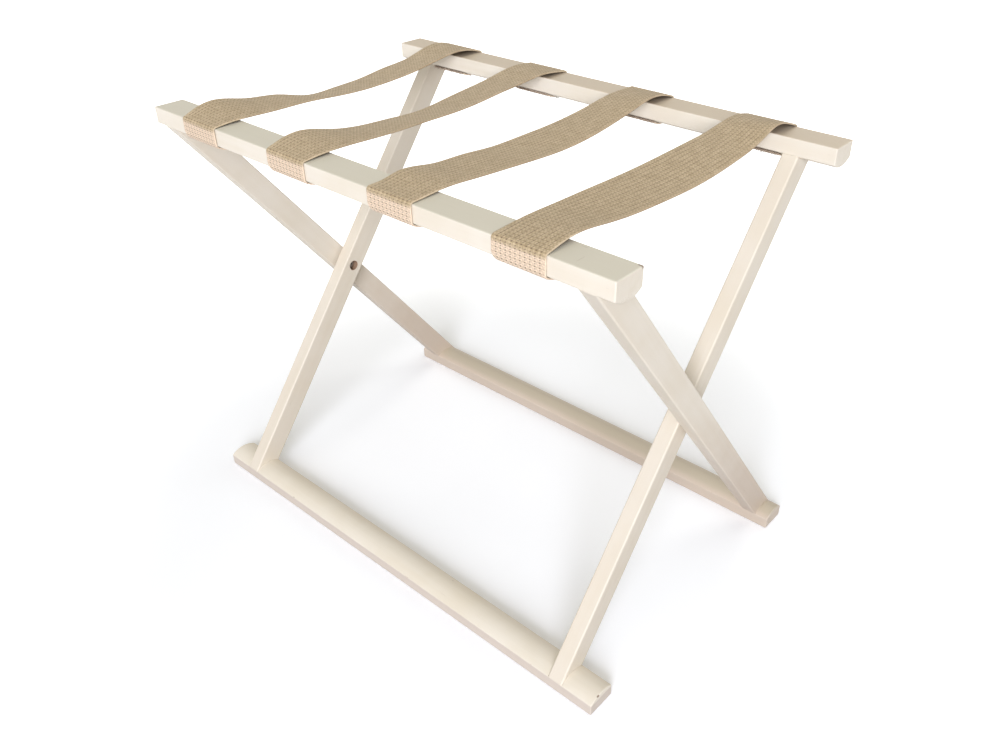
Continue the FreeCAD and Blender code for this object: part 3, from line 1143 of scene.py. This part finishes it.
@dataclass
class Fixings:
    """The dowels, bolts, washers, inserts and staples."""

    beech: BareBeech = BareBeech()
    # Dark zinc: partly dull plating, partly painted shade of the bolt heads deep in the counterbores.
    zinc: Metal = Metal((0.40, 0.39, 0.37), (0.22, 0.21, 0.19), 0.38)
    wire: Metal = Metal((0.58, 0.57, 0.54), (0.34, 0.32, 0.29), 0.38)
    brass: Metal = Metal((0.72, 0.52, 0.24), (0.42, 0.29, 0.13), 0.30)
    nylon: Nylon = Nylon()

    def dress(self) -> None:
        """Gives each fixing the finish of its slot in the record."""
        finishes = {
            Slot.BEECH: self.beech.material("bare_beech"),
            Slot.ZINC: self.zinc.material("zinc_plate"),
            Slot.WIRE: self.wire.material("galvanised_wire"),
            Slot.BRASS: self.brass.material("turned_brass"),
            Slot.NYLON: self.nylon.material("natural_nylon"),
        }
        for part in frame["record"]["subparts"]:
            slot = Slot(part["material_slot"])
            if slot in finishes:
                dress(part["node"], finishes[slot])


# ------------------------------------------------------------------ webbing straps
def smooth(share: Array) -> Array:
    """Shares held from 0 to 1 with their ends eased: three times the square less twice the cube."""
    share = np.clip(share, 0.0, 1.0)
    return share * share * (3.0 - 2.0 * share)


def spline(stations: Array, heights: Array, at: Array) -> Array:
    """A natural cubic spline: the smoothest curve through the stations, with no bend at its two ends.

    The bends at the stations follow from one set of linear equations, which makes the slopes of neighbouring
    spans meet, and each span is the cubic with those bends at its two ends.

    Args:
        stations: places of the points, rising.
        heights: the points' heights.
        at: places to give the curve at.

    Returns:
        The heights there.
    """
    gaps = np.diff(stations)
    slopes = np.diff(heights) / gaps
    count = len(stations)
    rows = np.eye(count)
    inner = np.arange(1, count - 1)
    rows[inner, inner - 1] = gaps[:-1]
    rows[inner, inner] = 2.0 * (gaps[:-1] + gaps[1:])
    rows[inner, inner + 1] = gaps[1:]
    wanted = np.zeros(count)
    wanted[1:-1] = 6.0 * np.diff(slopes)
    bends = np.linalg.solve(rows, wanted)
    span = np.clip(np.searchsorted(stations, at, side="right") - 1, 0, count - 2)
    gap = gaps[span]
    left = (stations[span + 1] - at) / gap
    right = (at - stations[span]) / gap
    bow = ((left ** 3 - left) * bends[span] + (right ** 3 - right) * bends[span + 1]) * gap ** 2 / 6.0
    return left * heights[span] + right * heights[span + 1] + bow


@dataclass(frozen=True)
class RailSection:
    """The section of a top rail that a strap goes round, in Y and Z.

    Attributes:
        side: the rail's side of the bench, which its outer face looks to.
        centre: Y of its middle.
        half: half its width.
        top: height of its flat top.
        crease: height at which its dome begins.
        crown: how far the dome bulges below the crease.
        top_bend: inner radius of the cloth's bend at the top corner.
        crease_bend: inner radius of the cloth's bend at the crease.
        dome_points: points of the way under the dome.
        bend_points: points of a bend.
    """

    side: Side
    centre: float
    half: float
    top: float
    crease: float
    crown: float
    top_bend: float = 1.8 * MM
    crease_bend: float = 3.5 * MM
    dome_points: int = 80
    bend_points: int = 30

    @classmethod
    def read(cls, side: Side) -> "RailSection":
        """The section of the front or the rear top rail, from the frame.

        Args:
            side: which of them.

        Returns:
            Its section.
        """
        low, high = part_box(side.name.lower() + "_top_rail")
        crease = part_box("outer_leg_left")[1].z
        return cls(side, (low.y + high.y) / 2.0, (high.y - low.y) / 2.0, high.z, crease, crease - low.z)

    @property
    def radius(self) -> float:
        """The radius of the dome's arc, which follows from its half width and its crown."""
        return (self.half ** 2 + self.crown ** 2) / (2.0 * self.crown)

    def turn(self, out: float) -> float:
        """The angle of the dome's arc between the rail's middle and a place that far out of it."""
        return math.asin(out / self.radius)

    def outwards(self, out: Array, up: Array) -> Array:
        """Points in Y and Z from how far out of the rail's middle they are, and how high."""
        out, up = np.broadcast_arrays(out, up)
        return np.stack([self.centre + self.side.value * out, up], -1)

    def under(self, cut_back: float) -> float:
        """The length of the dome's arc from the cut end to the crease."""
        return self.radius * (self.turn(self.half) + self.turn(self.half - cut_back))

    def wrap(self, offset: float, cut_back: float, departure: float) -> Array:
        """The way round the rail from the cut end under the dome to the top corner.

        It follows the dome's arc, turns round the crease in a larger bend, which just clears the wood, climbs
        the outer face and turns round the top corner until its direction rises by the departure angle.

        Args:
            offset: distance from the wood.
            cut_back: distance of the cut end from the rail's inner side.
            departure: angle in radians by which the strap rises as it leaves the corner.

        Returns:
            Points in Y and Z, one row each.
        """
        slope = self.turn(self.half)
        start = -self.turn(self.half - cut_back)
        hub = self.crease - self.crown + self.radius
        setback = self.crease_bend * (1.0 - math.sin(slope)) / math.cos(slope)
        turns = np.linspace(start, slope - setback / self.radius, self.dome_points)
        reach = self.radius + offset
        dome = self.outwards(reach * np.sin(turns), hub - reach * np.cos(turns))
        crease = self.bend(self.crease_bend, self.crease + setback, offset, slope - math.pi / 2.0, 0.0)
        corner = self.bend(self.top_bend, self.top - self.top_bend, offset, 0.0, math.pi / 2.0 - departure)
        return np.concatenate([dome, crease[1:], corner])

    def bend(self, inner: float, up: float, offset: float, start: float, stop: float) -> Array:
        """An arc at an offset from a bend that ends on the rail's outer face.

        Args:
            inner: the bend's inner radius.
            up: the height of its centre.
            offset: distance from the inner radius.
            start: direction of its first point, 0 straight out and a quarter turn straight up.
            stop: direction of its last point.

        Returns:
            Points in Y and Z.
        """
        turns = np.linspace(start, stop, self.bend_points)
        reach = inner + offset
        return self.outwards(self.half - inner + reach * np.cos(turns), up + reach * np.sin(turns))


@dataclass(frozen=True)
class Fringe:
    """The loose yarns along a strap's cut end: short tapered tubes that bend away and droop.

    Attributes:
        yarns: how many there are across the strap.
        shortest: the shortest yarn beyond the cut.
        longest: the longest one.
        radius: a yarn's radius at its root.
        layer: how far above or below the middle of the cloth a yarn begins, by turns.
        wander: how unevenly the yarns are spaced.
        aside: how far their tips stray sideways.
        droop: how far their tips stray up and down.
        start: where a yarn begins inside the cut, as a share of its length.
        taper: how much of its thickness it loses towards its tip, as a share of the square.
        rings: rings of points along a yarn.
        around: points round a yarn.
    """

    yarns: int = 46
    shortest: float = 1.3 * MM
    longest: float = 3.8 * MM
    radius: float = 0.52 * MM
    layer: float = 0.42 * MM
    wander: float = 0.12 * MM
    aside: float = 0.45 * MM
    droop: float = 0.40 * MM
    start: float = -0.35
    taper: float = 0.95
    rings: int = 6
    around: int = 6

    def build(self, name: str, root: Array, outwards: Array, x: float, width: float, sag: float,
              seed: int) -> bpy.types.Object:
        """The yarns of one cut end as one mesh.

        A yarn's middle line starts inside the cut, runs outwards by its length times t, and leaves that line
        sideways, up or down by a drift times t squared, with t from 0 to 1. Its radius falls off as a
        quarter circle towards the tip, which keeps about a fifth of it.

        Args:
            name: the object's name.
            root: Y and Z of the middle of the cut.
            outwards: the unit direction in Y and Z that the yarns leave in.
            x: the middle of the strap there.
            width: the strap's width.
            sag: how far the yarns' tips hang below that direction.
            seed: the seed of the yarns' chances.

        Returns:
            The object.
        """
        chance = np.random.default_rng(seed)
        count = self.yarns
        numbers = np.arange(count)
        spread = (numbers + 0.5) / count - 0.5
        x_root = x + spread * (width - 2.0 * self.radius) + chance.normal(0.0, self.wander, count)
        layer = np.where(numbers % 2 == 0, self.layer, -self.layer)
        reach = chance.uniform(self.shortest, self.longest, count)
        aside = chance.normal(0.0, self.aside, count)
        droop = chance.normal(-sag, self.droop, count)
        t = np.linspace(self.start, 1.0, self.rings)[None, :]
        bent = np.clip(t, 0.0, 1.0) ** 2
        up = np.array([-outwards[1], outwards[0]])
        up = up if up[1] > 0.0 else -up
        out = reach[:, None] * t
        rise = layer[:, None] + droop[:, None] * bent
        middle = np.stack([x_root[:, None] + aside[:, None] * bent,
                           root[0] + outwards[0] * out + up[0] * rise,
                           root[1] + outwards[1] * out + up[1] * rise], -1)
        radius = np.sqrt(1.0 - bent * self.taper) * self.radius
        turn = np.linspace(0.0, FULL_TURN, self.around, endpoint=False)
        side = np.stack([np.cos(turn), up[0] * np.sin(turn), up[1] * np.sin(turn)], -1)
        points = middle[:, :, None, :] + radius[:, :, None, None] * side[None, None, :, :]
        flipped = outwards[0] * up[1] < outwards[1] * up[0]
        mesh = bpy.data.meshes.new(name)
        mesh.from_pydata(points.reshape(-1, 3).tolist(), [],
                         tube_faces(count, self.rings, self.around, flipped))
        mesh.shade_smooth()
        mesh.update()
        return add_object(name, mesh)


def tube_faces(tubes: int, rings: int, around: int, flipped: bool) -> list[list[int]]:
    """The faces of equal tubes whose points go tube by tube and ring by ring, with both ends closed.

    Args:
        tubes: how many tubes there are.
        rings: rings along a tube.
        around: points in a ring.
        flipped: whether the rings turn the other way, so that the faces still look outwards.

    Returns:
        The faces, each a list of point numbers.
    """
    tube = np.arange(tubes)[:, None] * rings * around
    ring = np.arange(rings - 1)[None, :, None] * around
    step = np.arange(around)
    after = (step + 1) % around
    base = tube[..., None] + ring
    quads = np.stack([base + step, base + after, base + around + after, base + around + step], -1)
    starts = tube + step[::-1]
    ends = tube + (rings - 1) * around + step
    groups = [quads.reshape(-1, 4), starts, ends]
    if flipped:
        groups = [group[:, ::-1] for group in groups]
    return [face for group in groups for face in group.tolist()]


@dataclass(frozen=True)
class Drape:
    """Heights of one edge of a strap above the rail tops, in millimetres, at its upper face.

    Attributes:
        front: over the front rail: at its middle and at its inner side.
        span: at seven places from the front rail to the rear one, evenly spread about the middle.
        rear: where the cloth stands off the rear rail: at its inner side and over it.
    """

    front: tuple[float, float]
    span: tuple[float, float, float, float, float, float, float]
    rear: tuple[float, float]


@dataclass
class WebbingStrap:
    """One strap: a band of webbing over both top rails, wrapped round and stapled under them.

    Attributes:
        number: its number from the left.
        front_x: its middle at the front rail.
        rear_x: its middle at the rear rail.
        left: the drape of its left edge.
        right: the drape of its right edge.
        sag: how far the loose yarns of its cut ends hang.
        weave: its cloth.
        width: its width.
        thickness: thickness of the cloth, from crown to crown.
        clearance: how far the wraps stand off the wood.
        cut_back: distance of the cut ends from the rails' inner sides.
        gather: how far the left edge is drawn in where the strap turns under a rail.
        gather_length: the length over which it is drawn in.
        gather_start: the share of that length which is above the crease.
        rim: how far in from the selvedge its round edge begins.
        rim_points: points of the round edge.
        selvedge: how far in from the edge the weave stops.
        selvedge_fade: the width over which it fades there.
        selvedge_depth: how far the selvedge lies below the weave's crowns.
        span_reach: the drape's outer span places, as a share of the way to the rails' inner sides.
        landing: where the cloth stands off the rear rail's inner side, as a share of the same way.
        span_points: points of an edge between the rails' top corners.
        across_pair: places of the grid's lines in a pair of bundles, as shares of the pair.
        along_pick: places of the grid's rows in a pick, as shares of the pick.
    """

    number: int
    front_x: float
    rear_x: float
    left: Drape
    right: Drape
    sag: float
    weave: Weave = Weave()
    width: float = 55.0 * MM
    thickness: float = 2.0 * MM
    clearance: float = 0.3 * MM
    cut_back: float = 1.2 * MM
    gather: float = 5.5 * MM
    gather_length: float = 12.0 * MM
    gather_start: float = 0.67
    rim: float = 0.9 * MM
    rim_points: int = 3
    selvedge: float = 0.8 * MM
    selvedge_fade: float = 0.5 * MM
    selvedge_depth: float = 0.1 * MM
    span_reach: float = 0.75
    landing: float = 0.95
    span_points: int = 900
    across_pair: tuple[float, ...] = (-0.5, -0.40, -0.22, -0.07, 0.07, 0.22, 0.40)
    along_pick: tuple[float, ...] = (-0.5, -0.17, 0.17)

    def edge_path(self, drape: Drape, front: RailSection, rear: RailSection) -> Array:
        """The middle of the cloth's thickness along one edge, from the front cut end to the rear one.

        The wraps hug the rails, and between them a spline goes through the drape's heights.

        Args:
            drape: the edge's heights.
            front: the front rail.
            rear: the rear rail.

        Returns:
            Points in Y and Z.
        """
        half = self.thickness / 2.0
        offset = self.clearance + half
        leave = math.atan2(drape.front[0] * MM - half - offset, front.half)
        land = math.atan2(drape.rear[1] * MM - half - offset, rear.half)
        first = front.wrap(offset, self.cut_back, leave)
        last = rear.wrap(offset, self.cut_back, land)[::-1]
        inner = rear.centre - rear.half
        spread = np.linspace(-self.span_reach, self.span_reach, len(drape.span)) * inner
        stations = np.concatenate([[first[-1, 0], front.centre, -inner], spread,
                                   [inner * self.landing, rear.centre, last[0, 0]]])
        upper = np.array([*drape.front, *drape.span, *drape.rear]) * MM - half
        start, stop = first[-1, 1] - front.top, last[0, 1] - rear.top
        heights = np.concatenate([[start], upper, [stop]])
        across = np.linspace(stations[0], stations[-1], self.span_points)[1:-1]
        over = np.stack([across, front.top + spline(stations, heights, across)], -1)
        return np.concatenate([first, over, last])

    @staticmethod
    def along(path: Array, shares: Array) -> Array:
        """Points of a path.

        Args:
            path: the path, one point in a row.
            shares: where the points are, as shares of its length.

        Returns:
            The points.
        """
        steps = np.linalg.norm(np.diff(path, axis=0), axis=1)
        run = np.concatenate([[0.0], np.cumsum(steps)])
        run /= run[-1]
        return np.stack([np.interp(shares, run, part) for part in path.T], -1)

    @staticmethod
    def length(path: Array) -> float:
        """The length of a path."""
        return float(np.linalg.norm(np.diff(path, axis=0), axis=1).sum())

    def rows(self, length: float) -> tuple[Array, Array]:
        """Places of the grid's rows along the strap: the same few in each pick, and the end.

        Args:
            length: the strap's length.

        Returns:
            The places as shares of the length, and as lengths of cloth.
        """
        picks = int(length / self.weave.pick)
        places = (np.arange(picks)[:, None] + np.array(self.along_pick)[None, :] + 0.5).ravel()
        shares = np.append(places, float(picks)) / picks
        return shares, shares * picks * self.weave.pick

    def columns(self) -> Array:
        """Places of the grid's lines across the upper face: the same few in each pair of bundles.

        Returns:
            The places, from edge to edge.
        """
        reach = self.width / 2.0 - self.selvedge
        beside = round(reach / self.weave.pair - 0.5)
        numbers = np.arange(-beside, beside + 1)
        inside = (numbers[:, None] + np.array(self.across_pair)[None, :]).ravel() * self.weave.pair
        inside = np.append(inside, (beside + 0.5) * self.weave.pair)
        return np.unique(np.round(np.clip(inside, -reach, reach), 6))

    def section(self) -> tuple[Array, Array, Array]:
        """The cloth's section, without its weave.

        It goes along the upper face from left to right, round the right rim in a half circle, back along the
        lower face, which has half as many points, and round the left rim.

        Returns:
            Each point's place across, its height above the middle of the cloth and its face: 1 on the upper
            one, -1 on the lower one and 0 on a rim.
        """
        top = self.columns()
        low = top[::-1][::2]
        turns = np.linspace(0.0, math.pi, self.rim_points + 2)[1:-1]
        rim_out = self.width / 2.0 - self.rim + self.rim * np.sin(turns)
        rim_up = self.rim * np.cos(turns)
        half = self.thickness / 2.0
        across = np.concatenate([top, rim_out, low, -rim_out])
        up = np.concatenate([np.full(len(top), half), rim_up, np.full(len(low), -half), -rim_up])
        no_face = np.zeros(self.rim_points)
        face = np.concatenate([np.ones(len(top)), no_face, -np.ones(len(low)), no_face])
        return across, up, face

    def middle(self, across: Array, run: Array, left: Array, right: Array, front: RailSection,
               rear: RailSection) -> Array:
        """The surface in the middle of the cloth.

        It is straight across from edge to edge. Along the strap it eases from its place at the front rail to
        the one at the rear rail, and its left edge is drawn in near the cut ends.

        Args:
            across: the section's places across.
            run: the rows' places along.
            left: the left edge, a point for each row.
            right: the right edge.
            front: the front rail.
            rear: the rear rail.

        Returns:
            Its points, by row and place across.
        """
        blend = (across / self.width + 0.5)[None, :, None]
        line = left[:, None, :] * (1.0 - blend) + right[:, None, :] * blend
        middle_y = (left[:, 0] + right[:, 0]) / 2.0
        over = smooth((middle_y - front.centre) / (rear.centre - front.centre))
        shift = self.front_x + (self.rear_x - self.front_x) * over
        from_end = np.minimum(run, run[-1] - run)
        under = (front.under(self.cut_back) - from_end) / self.gather_length
        drawn = smooth(under + self.gather_start) * self.gather
        x = shift[:, None] + across[None, :] + drawn[:, None] * (0.5 - across / self.width)[None, :]
        return np.concatenate([x[..., None], line], -1)

    def normals(self, left: Array, right: Array) -> Array:
        """The directions square to the cloth.

        Args:
            left: the left edge, a point for each row.
            right: the right edge.

        Returns:
            The unit normal of each row.
        """
        tangent = np.gradient((left + right) / 2.0, axis=0)
        tangent /= np.linalg.norm(tangent, axis=1, keepdims=True)
        tilt = (right - left) / self.width
        normal = np.cross(np.insert(tilt, 0, 1.0, axis=1), np.insert(tangent, 0, 0.0, axis=1))
        return normal / np.linalg.norm(normal, axis=1, keepdims=True)

    def build(self, front: RailSection, rear: RailSection) -> tuple[bpy.types.Object, float]:
        """The strap's mesh: a closed band whose section is swept along the path between its two edges.

        A point is the middle surface at its place across and along, moved along that surface's normal by the
        section's height there plus the weave's relief, which fades out at the selvedge.

        Args:
            front: the front rail.
            rear: the rear rail.

        Returns:
            The object and the strap's length.
        """
        left = self.edge_path(self.left, front, rear)
        right = self.edge_path(self.right, front, rear)
        length = (self.length(left) + self.length(right)) / 2.0
        shares, run = self.rows(length)
        left, right = self.along(left, shares), self.along(right, shares)
        across, up, face = self.section()
        inside = self.width / 2.0 - self.selvedge - np.abs(across)
        woven = np.clip(inside / self.selvedge_fade + 1.0, 0.0, 1.0)
        relief = self.weave.relief(across[None, :], run[:, None])
        relief = relief * woven - (1.0 - woven) * self.selvedge_depth
        out = up + face * relief
        middle = self.middle(across, run, left, right, front, rear)
        points = middle + self.normals(left, right)[:, None, :] * out[..., None]
        uv = np.stack(np.broadcast_arrays(across[None, :], run[:, None]), -1)
        name = "strap_%d" % self.number
        mesh = closed_band(name, points, uv)
        inner = np.broadcast_to(np.maximum(-face, 0.0), out.shape)
        layer = mesh.attributes.new("inner_face", "FLOAT", "POINT")
        layer.data.foreach_set("value", inner.ravel().astype(np.float32))
        return add_object(name, mesh), length

    def fringes(self, fringe: Fringe, front: RailSection, rear: RailSection) -> list[bpy.types.Object]:
        """The yarns of the cut ends.

        Args:
            fringe: what they are like.
            front: the front rail.
            rear: the rear rail.

        Returns:
            Those of the front end and those of the rear one.
        """
        made = []
        for rail, x in ((front, self.front_x), (rear, self.rear_x)):
            path = rail.wrap(self.clearance + self.thickness / 2.0, self.cut_back, 0.0)
            outwards = (path[0] - path[1]) / np.linalg.norm(path[0] - path[1])
            name = "strap_%d_%s_fringe" % (self.number, rail.side.name.lower())
            seed = 10 * self.number + rail.side.value
            made.append(fringe.build(name, path[0], outwards, x + self.gather / 2.0, self.width - self.gather,
                                     self.sag, seed))
        return made


def closed_band(name: str, points: Array, uv: Array) -> bpy.types.Mesh:
    """A mesh from rows of points that each go once round a section, with both ends closed.

    Args:
        name: the mesh's name.
        points: the points, by row and place round the section.
        uv: each point's place across and along the cloth.

    Returns:
        The mesh, its faces outwards.
    """
    rows, around = points.shape[:2]
    row = np.arange(rows - 1)[:, None] * around
    column = np.arange(around)[None, :]
    after = (column + 1) % around
    quads = np.stack([row + column, row + around + column, row + around + after, row + after], -1)
    faces = quads.reshape(-1, 4).tolist()
    faces.append(list(range(around)))
    faces.append(list(range(rows * around - 1, (rows - 1) * around - 1, -1)))
    mesh = bpy.data.meshes.new(name)
    mesh.from_pydata(points.reshape(-1, 3).tolist(), [], faces)
    mesh.shade_smooth()
    owners = np.empty(len(mesh.loops), np.int32)
    mesh.loops.foreach_get("vertex_index", owners)
    layer = mesh.uv_layers.new(name="cloth")
    layer.data.foreach_set("uv", uv.reshape(-1, 2)[owners].astype(np.float32).ravel())
    mesh.update()
    return mesh


@dataclass
class Straps:
    """The four straps."""

    cloth: WebbingCloth = WebbingCloth()
    fringe: Fringe = Fringe()
    straps: tuple[WebbingStrap, ...] = (
        WebbingStrap(1, -215.8 * MM, -217.6 * MM,
                     Drape((8.1, 10.6), (3.6, -1.5, -11.2, -11.4, -9.6, -5.0, -1.3), (5.9, 6.4)),
                     Drape((3.6, 3.7), (2.4, 1.8, -0.8, -2.8, -2.0, 0.8, 6.2), (9.3, 6.6)), 2.6 * MM),
        WebbingStrap(2, -75.2 * MM, -81.0 * MM,
                     Drape((6.8, 9.0), (1.2, -5.4, -8.2, -10.6, -7.8, -4.2, -0.4), (3.8, 4.0)),
                     Drape((3.7, 4.1), (2.7, 0.9, 0.4, -0.4, 0.4, 3.2, 5.4), (7.0, 4.7)), 0.5 * MM),
        WebbingStrap(3, 66.2 * MM, 67.5 * MM,
                     Drape((2.7, 5.2), (0.6, -1.8, -5.2, -5.7, -5.6, -4.0, -0.4), (2.6, 2.6)),
                     Drape((2.9, 3.6), (1.3, -1.8, -4.6, -6.6, -5.6, -1.4, 5.0), (9.6, 7.0)), 1.4 * MM),
        WebbingStrap(4, 210.1 * MM, 213.3 * MM,
                     Drape((2.9, 3.5), (2.8, 2.0, 1.0, 0.8, 1.6, 2.6, 4.4), (7.4, 5.9)),
                     Drape((5.2, 6.6), (2.0, -2.8, -5.2, -6.6, -5.6, -2.0, 4.9), (12.7, 7.9)), 2.8 * MM),
    )

    def make(self) -> None:
        front, rear = RailSection.read(Side.FRONT), RailSection.read(Side.REAR)
        start = (0.0, front.centre + front.half, front.top)
        end = (0.0, rear.centre - rear.half, rear.top)
        yarns = self.cloth.yarn_material("frayed_yarn")
        for strap in self.straps:
            piece, length = strap.build(front, rear)
            wrapped = front.under(strap.cut_back) + front.top - front.crease
            cloth = self.cloth.material("webbing_%d" % strap.number, length, wrapped)
            piece.data.materials.append(cloth)
            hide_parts("webbing_strap_%d" % strap.number)
            fringes = strap.fringes(self.fringe, front, rear)
            for tuft, body in zip(fringes, ("outer_frame", "inner_frame")):
                tuft.data.materials.append(yarns)
                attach(tuft, body)
            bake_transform(piece)
            LOG.info("%s: %.0f mm long, %d faces", piece.name, length / MM, len(piece.data.polygons))


# ------------------------------------------------------------------ studio
@dataclass(frozen=True)
class Lamp:
    """A square area lamp that looks at the bench.

    Attributes:
        name: its name.
        azimuth: its direction from the bench, in degrees from the front to the right.
        elevation: its angle above the bench, in degrees.
        distance: its distance from the bench.
        size: its side.
        power: its power in watts.
        colour: its colour.
    """

    name: str
    azimuth: float
    elevation: float
    distance: float
    size: float
    power: float
    colour: Colour

    def place(self, target: Vector) -> None:
        """Adds the lamp.

        Args:
            target: the point that it looks at.
        """
        azimuth, elevation = math.radians(self.azimuth), math.radians(self.elevation)
        level = math.cos(elevation)
        away = Vector((math.sin(azimuth) * level, -math.cos(azimuth) * level, math.sin(elevation)))
        data = bpy.data.lights.new(self.name, "AREA")
        data.size = self.size
        data.energy = self.power
        data.color = self.colour
        lamp = add_object(self.name, data)
        lamp.location = target + away * self.distance
        lamp.rotation_euler = away.to_track_quat("Z", "Y").to_euler()


@dataclass
class Studio:
    """The floor, the lamps, the world and the camera.

    Attributes:
        middle: the point that the lamps look at.
        lamps: the lamps.
        ambient: how bright the world's light is.
        sky: its colour.
        floor_size: the floor's side.
        floor_colour: the floor's colour in the light that it sends on.
        shown_floor: the floor's colour to the camera.
        mottle_scale: the floor's mottling, in features in a metre.
        mottle_share: how much of the other colour the mottling mixes in.
        far_lift: how bright the floor glows far out.
        near_radius: how far out the glow begins.
        far_radius: how far out it is complete.
        camera_place: the camera's place.
        azimuth: its heading, in degrees.
        elevation: how far down it looks, in degrees.
        roll: its roll, in degrees.
        lens: its focal length, in millimetres.
        shift: how far its picture is shifted across and up.
    """

    middle: Vector = field(default_factory=lambda: Vector((0.0, 0.0, 0.26)))
    lamps: tuple[Lamp, ...] = (
        Lamp("key", 34.0, 20.5, 5.6, 2.8, 337.0, (0.900, 0.915, 1.0)),
        Lamp("overhead", 20.0, 80.0, 3.2, 1.8, 8.0, (1.0, 0.965, 0.85)),
        Lamp("rear_fill", 170.0, 44.0, 5.0, 4.6, 80.0, (1.0, 0.985, 0.95)),
        Lamp("left_fill", 274.0, 8.0, 4.5, 2.2, 46.0, (1.0, 0.975, 0.92)),
    )
    ambient: float = 0.34
    sky: Colour = (1.0, 0.96, 0.84)
    floor_size: float = 14.0
    floor_colour: Colour = (0.45, 0.435, 0.43)
    shown_floor: Colour = (1.09, 1.115, 1.16)
    mottle_scale: float = 3.0
    mottle_share: float = 0.03
    far_lift: float = 0.7
    near_radius: float = 0.38
    far_radius: float = 0.95
    camera_place: Point = (0.62314, -0.66035, 0.78002)
    azimuth: float = 40.69
    elevation: float = 33.35
    roll: float = 0.06
    lens: float = 32.79
    shift: tuple[float, float] = (-0.02529, -0.00886)

    def seen(self, tree: Tree) -> Value:
        """The rays that show the backdrop: the camera's, mirrored ones and those through glass.

        Args:
            tree: the tree of the world or of the floor.

        Returns:
            1 for such a ray and 0 for any other.
        """
        rays = tree.node("ShaderNodeLightPath").outputs
        camera = Value(tree, rays["Is Camera Ray"])
        glossy = Value(tree, rays["Is Glossy Ray"])
        through = Value(tree, rays["Is Transmission Ray"])
        return tree.greatest(tree.greatest(camera, glossy), through)

    def light(self) -> None:
        """Places the lamps and the world, which is white to the camera."""
        for lamp in self.lamps:
            lamp.place(self.middle)
        world = bpy.data.worlds.new("studio")
        bpy.context.scene.world = world
        world.use_nodes = True
        tree = Tree(world.node_tree)
        seen = self.seen(tree)
        dim = tuple(self.ambient * part for part in self.sky)
        colour = tree.blend(seen, dim, WHITE)
        sky = tree.node("ShaderNodeBackground", {}, {"Color": colour})
        tree.node("ShaderNodeOutputWorld", {}, {"Surface": sky.outputs[0]})

    def lay_floor(self) -> None:
        """A pale floor that keeps the bench's shadow.

        To the camera its colour is brighter than the light that it sends on, so that the open floor is white
        near the bench, and farther out a glow takes over from the lamps.
        """
        material, tree = new_material("pale_floor")
        place = tree.object_place()
        seen = self.seen(tree)
        colour = tree.blend(seen, self.floor_colour, self.shown_floor)
        mottle = tree.noise(place, self.mottle_scale)
        colour = tree.blend(mottle * self.mottle_share, colour, self.floor_colour)
        matt = tree.node("ShaderNodeBsdfDiffuse", {}, {"Color": colour})
        apart = tree.distance(place, (0.0, 0.0, 0.0))
        rise = tree.rise(apart, self.near_radius, self.far_radius) * self.far_lift
        glow = tree.blend(seen * rise, BLACK, WHITE)
        lift = tree.node("ShaderNodeEmission", {}, {"Color": glow})
        both = tree.node("ShaderNodeAddShader", {}, {0: matt.outputs[0], 1: lift.outputs[0]})
        tree.node("ShaderNodeOutputMaterial", {}, {"Surface": both.outputs[0]})
        reach = self.floor_size / 2.0
        mesh = bpy.data.meshes.new("floor")
        outline = [(-reach, -reach, 0.0), (reach, -reach, 0.0), (reach, reach, 0.0), (-reach, reach, 0.0)]
        mesh.from_pydata(outline, [], [(0, 1, 2, 3)])
        mesh.materials.append(material)
        floor = add_object("floor", mesh)

    def set_camera(self) -> None:
        """Stands the camera at its place and makes it the scene's."""
        data = bpy.data.cameras.new("camera")
        data.sensor_fit = "HORIZONTAL"
        data.lens = self.lens
        data.shift_x, data.shift_y = self.shift
        camera = add_object("camera", data)
        heading = Matrix.Rotation(math.radians(self.azimuth), 4, "Z")
        tip = Matrix.Rotation(math.radians(90.0 - self.elevation), 4, "X")
        roll = Matrix.Rotation(math.radians(self.roll), 4, "Z")
        camera.matrix_world = Matrix.Translation(self.camera_place) @ heading @ tip @ roll
        bpy.context.scene.camera = camera

    def build(self) -> None:
        """Builds the studio."""
        bpy.context.scene.view_settings.view_transform = "Standard"
        self.light()
        self.lay_floor()
        self.set_camera()
        LOG.info("studio: %d lamps, a floor and a camera", len(self.lamps))


def main() -> None:
    """Builds the studio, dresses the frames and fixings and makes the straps."""
    logging.basicConfig(level=logging.INFO, format="%(name)s: %(message)s")
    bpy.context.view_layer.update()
    Studio().build()
    WoodenFrames().dress()
    Fixings().dress()
    Straps().make()


if __name__ == "__main__":
    main()
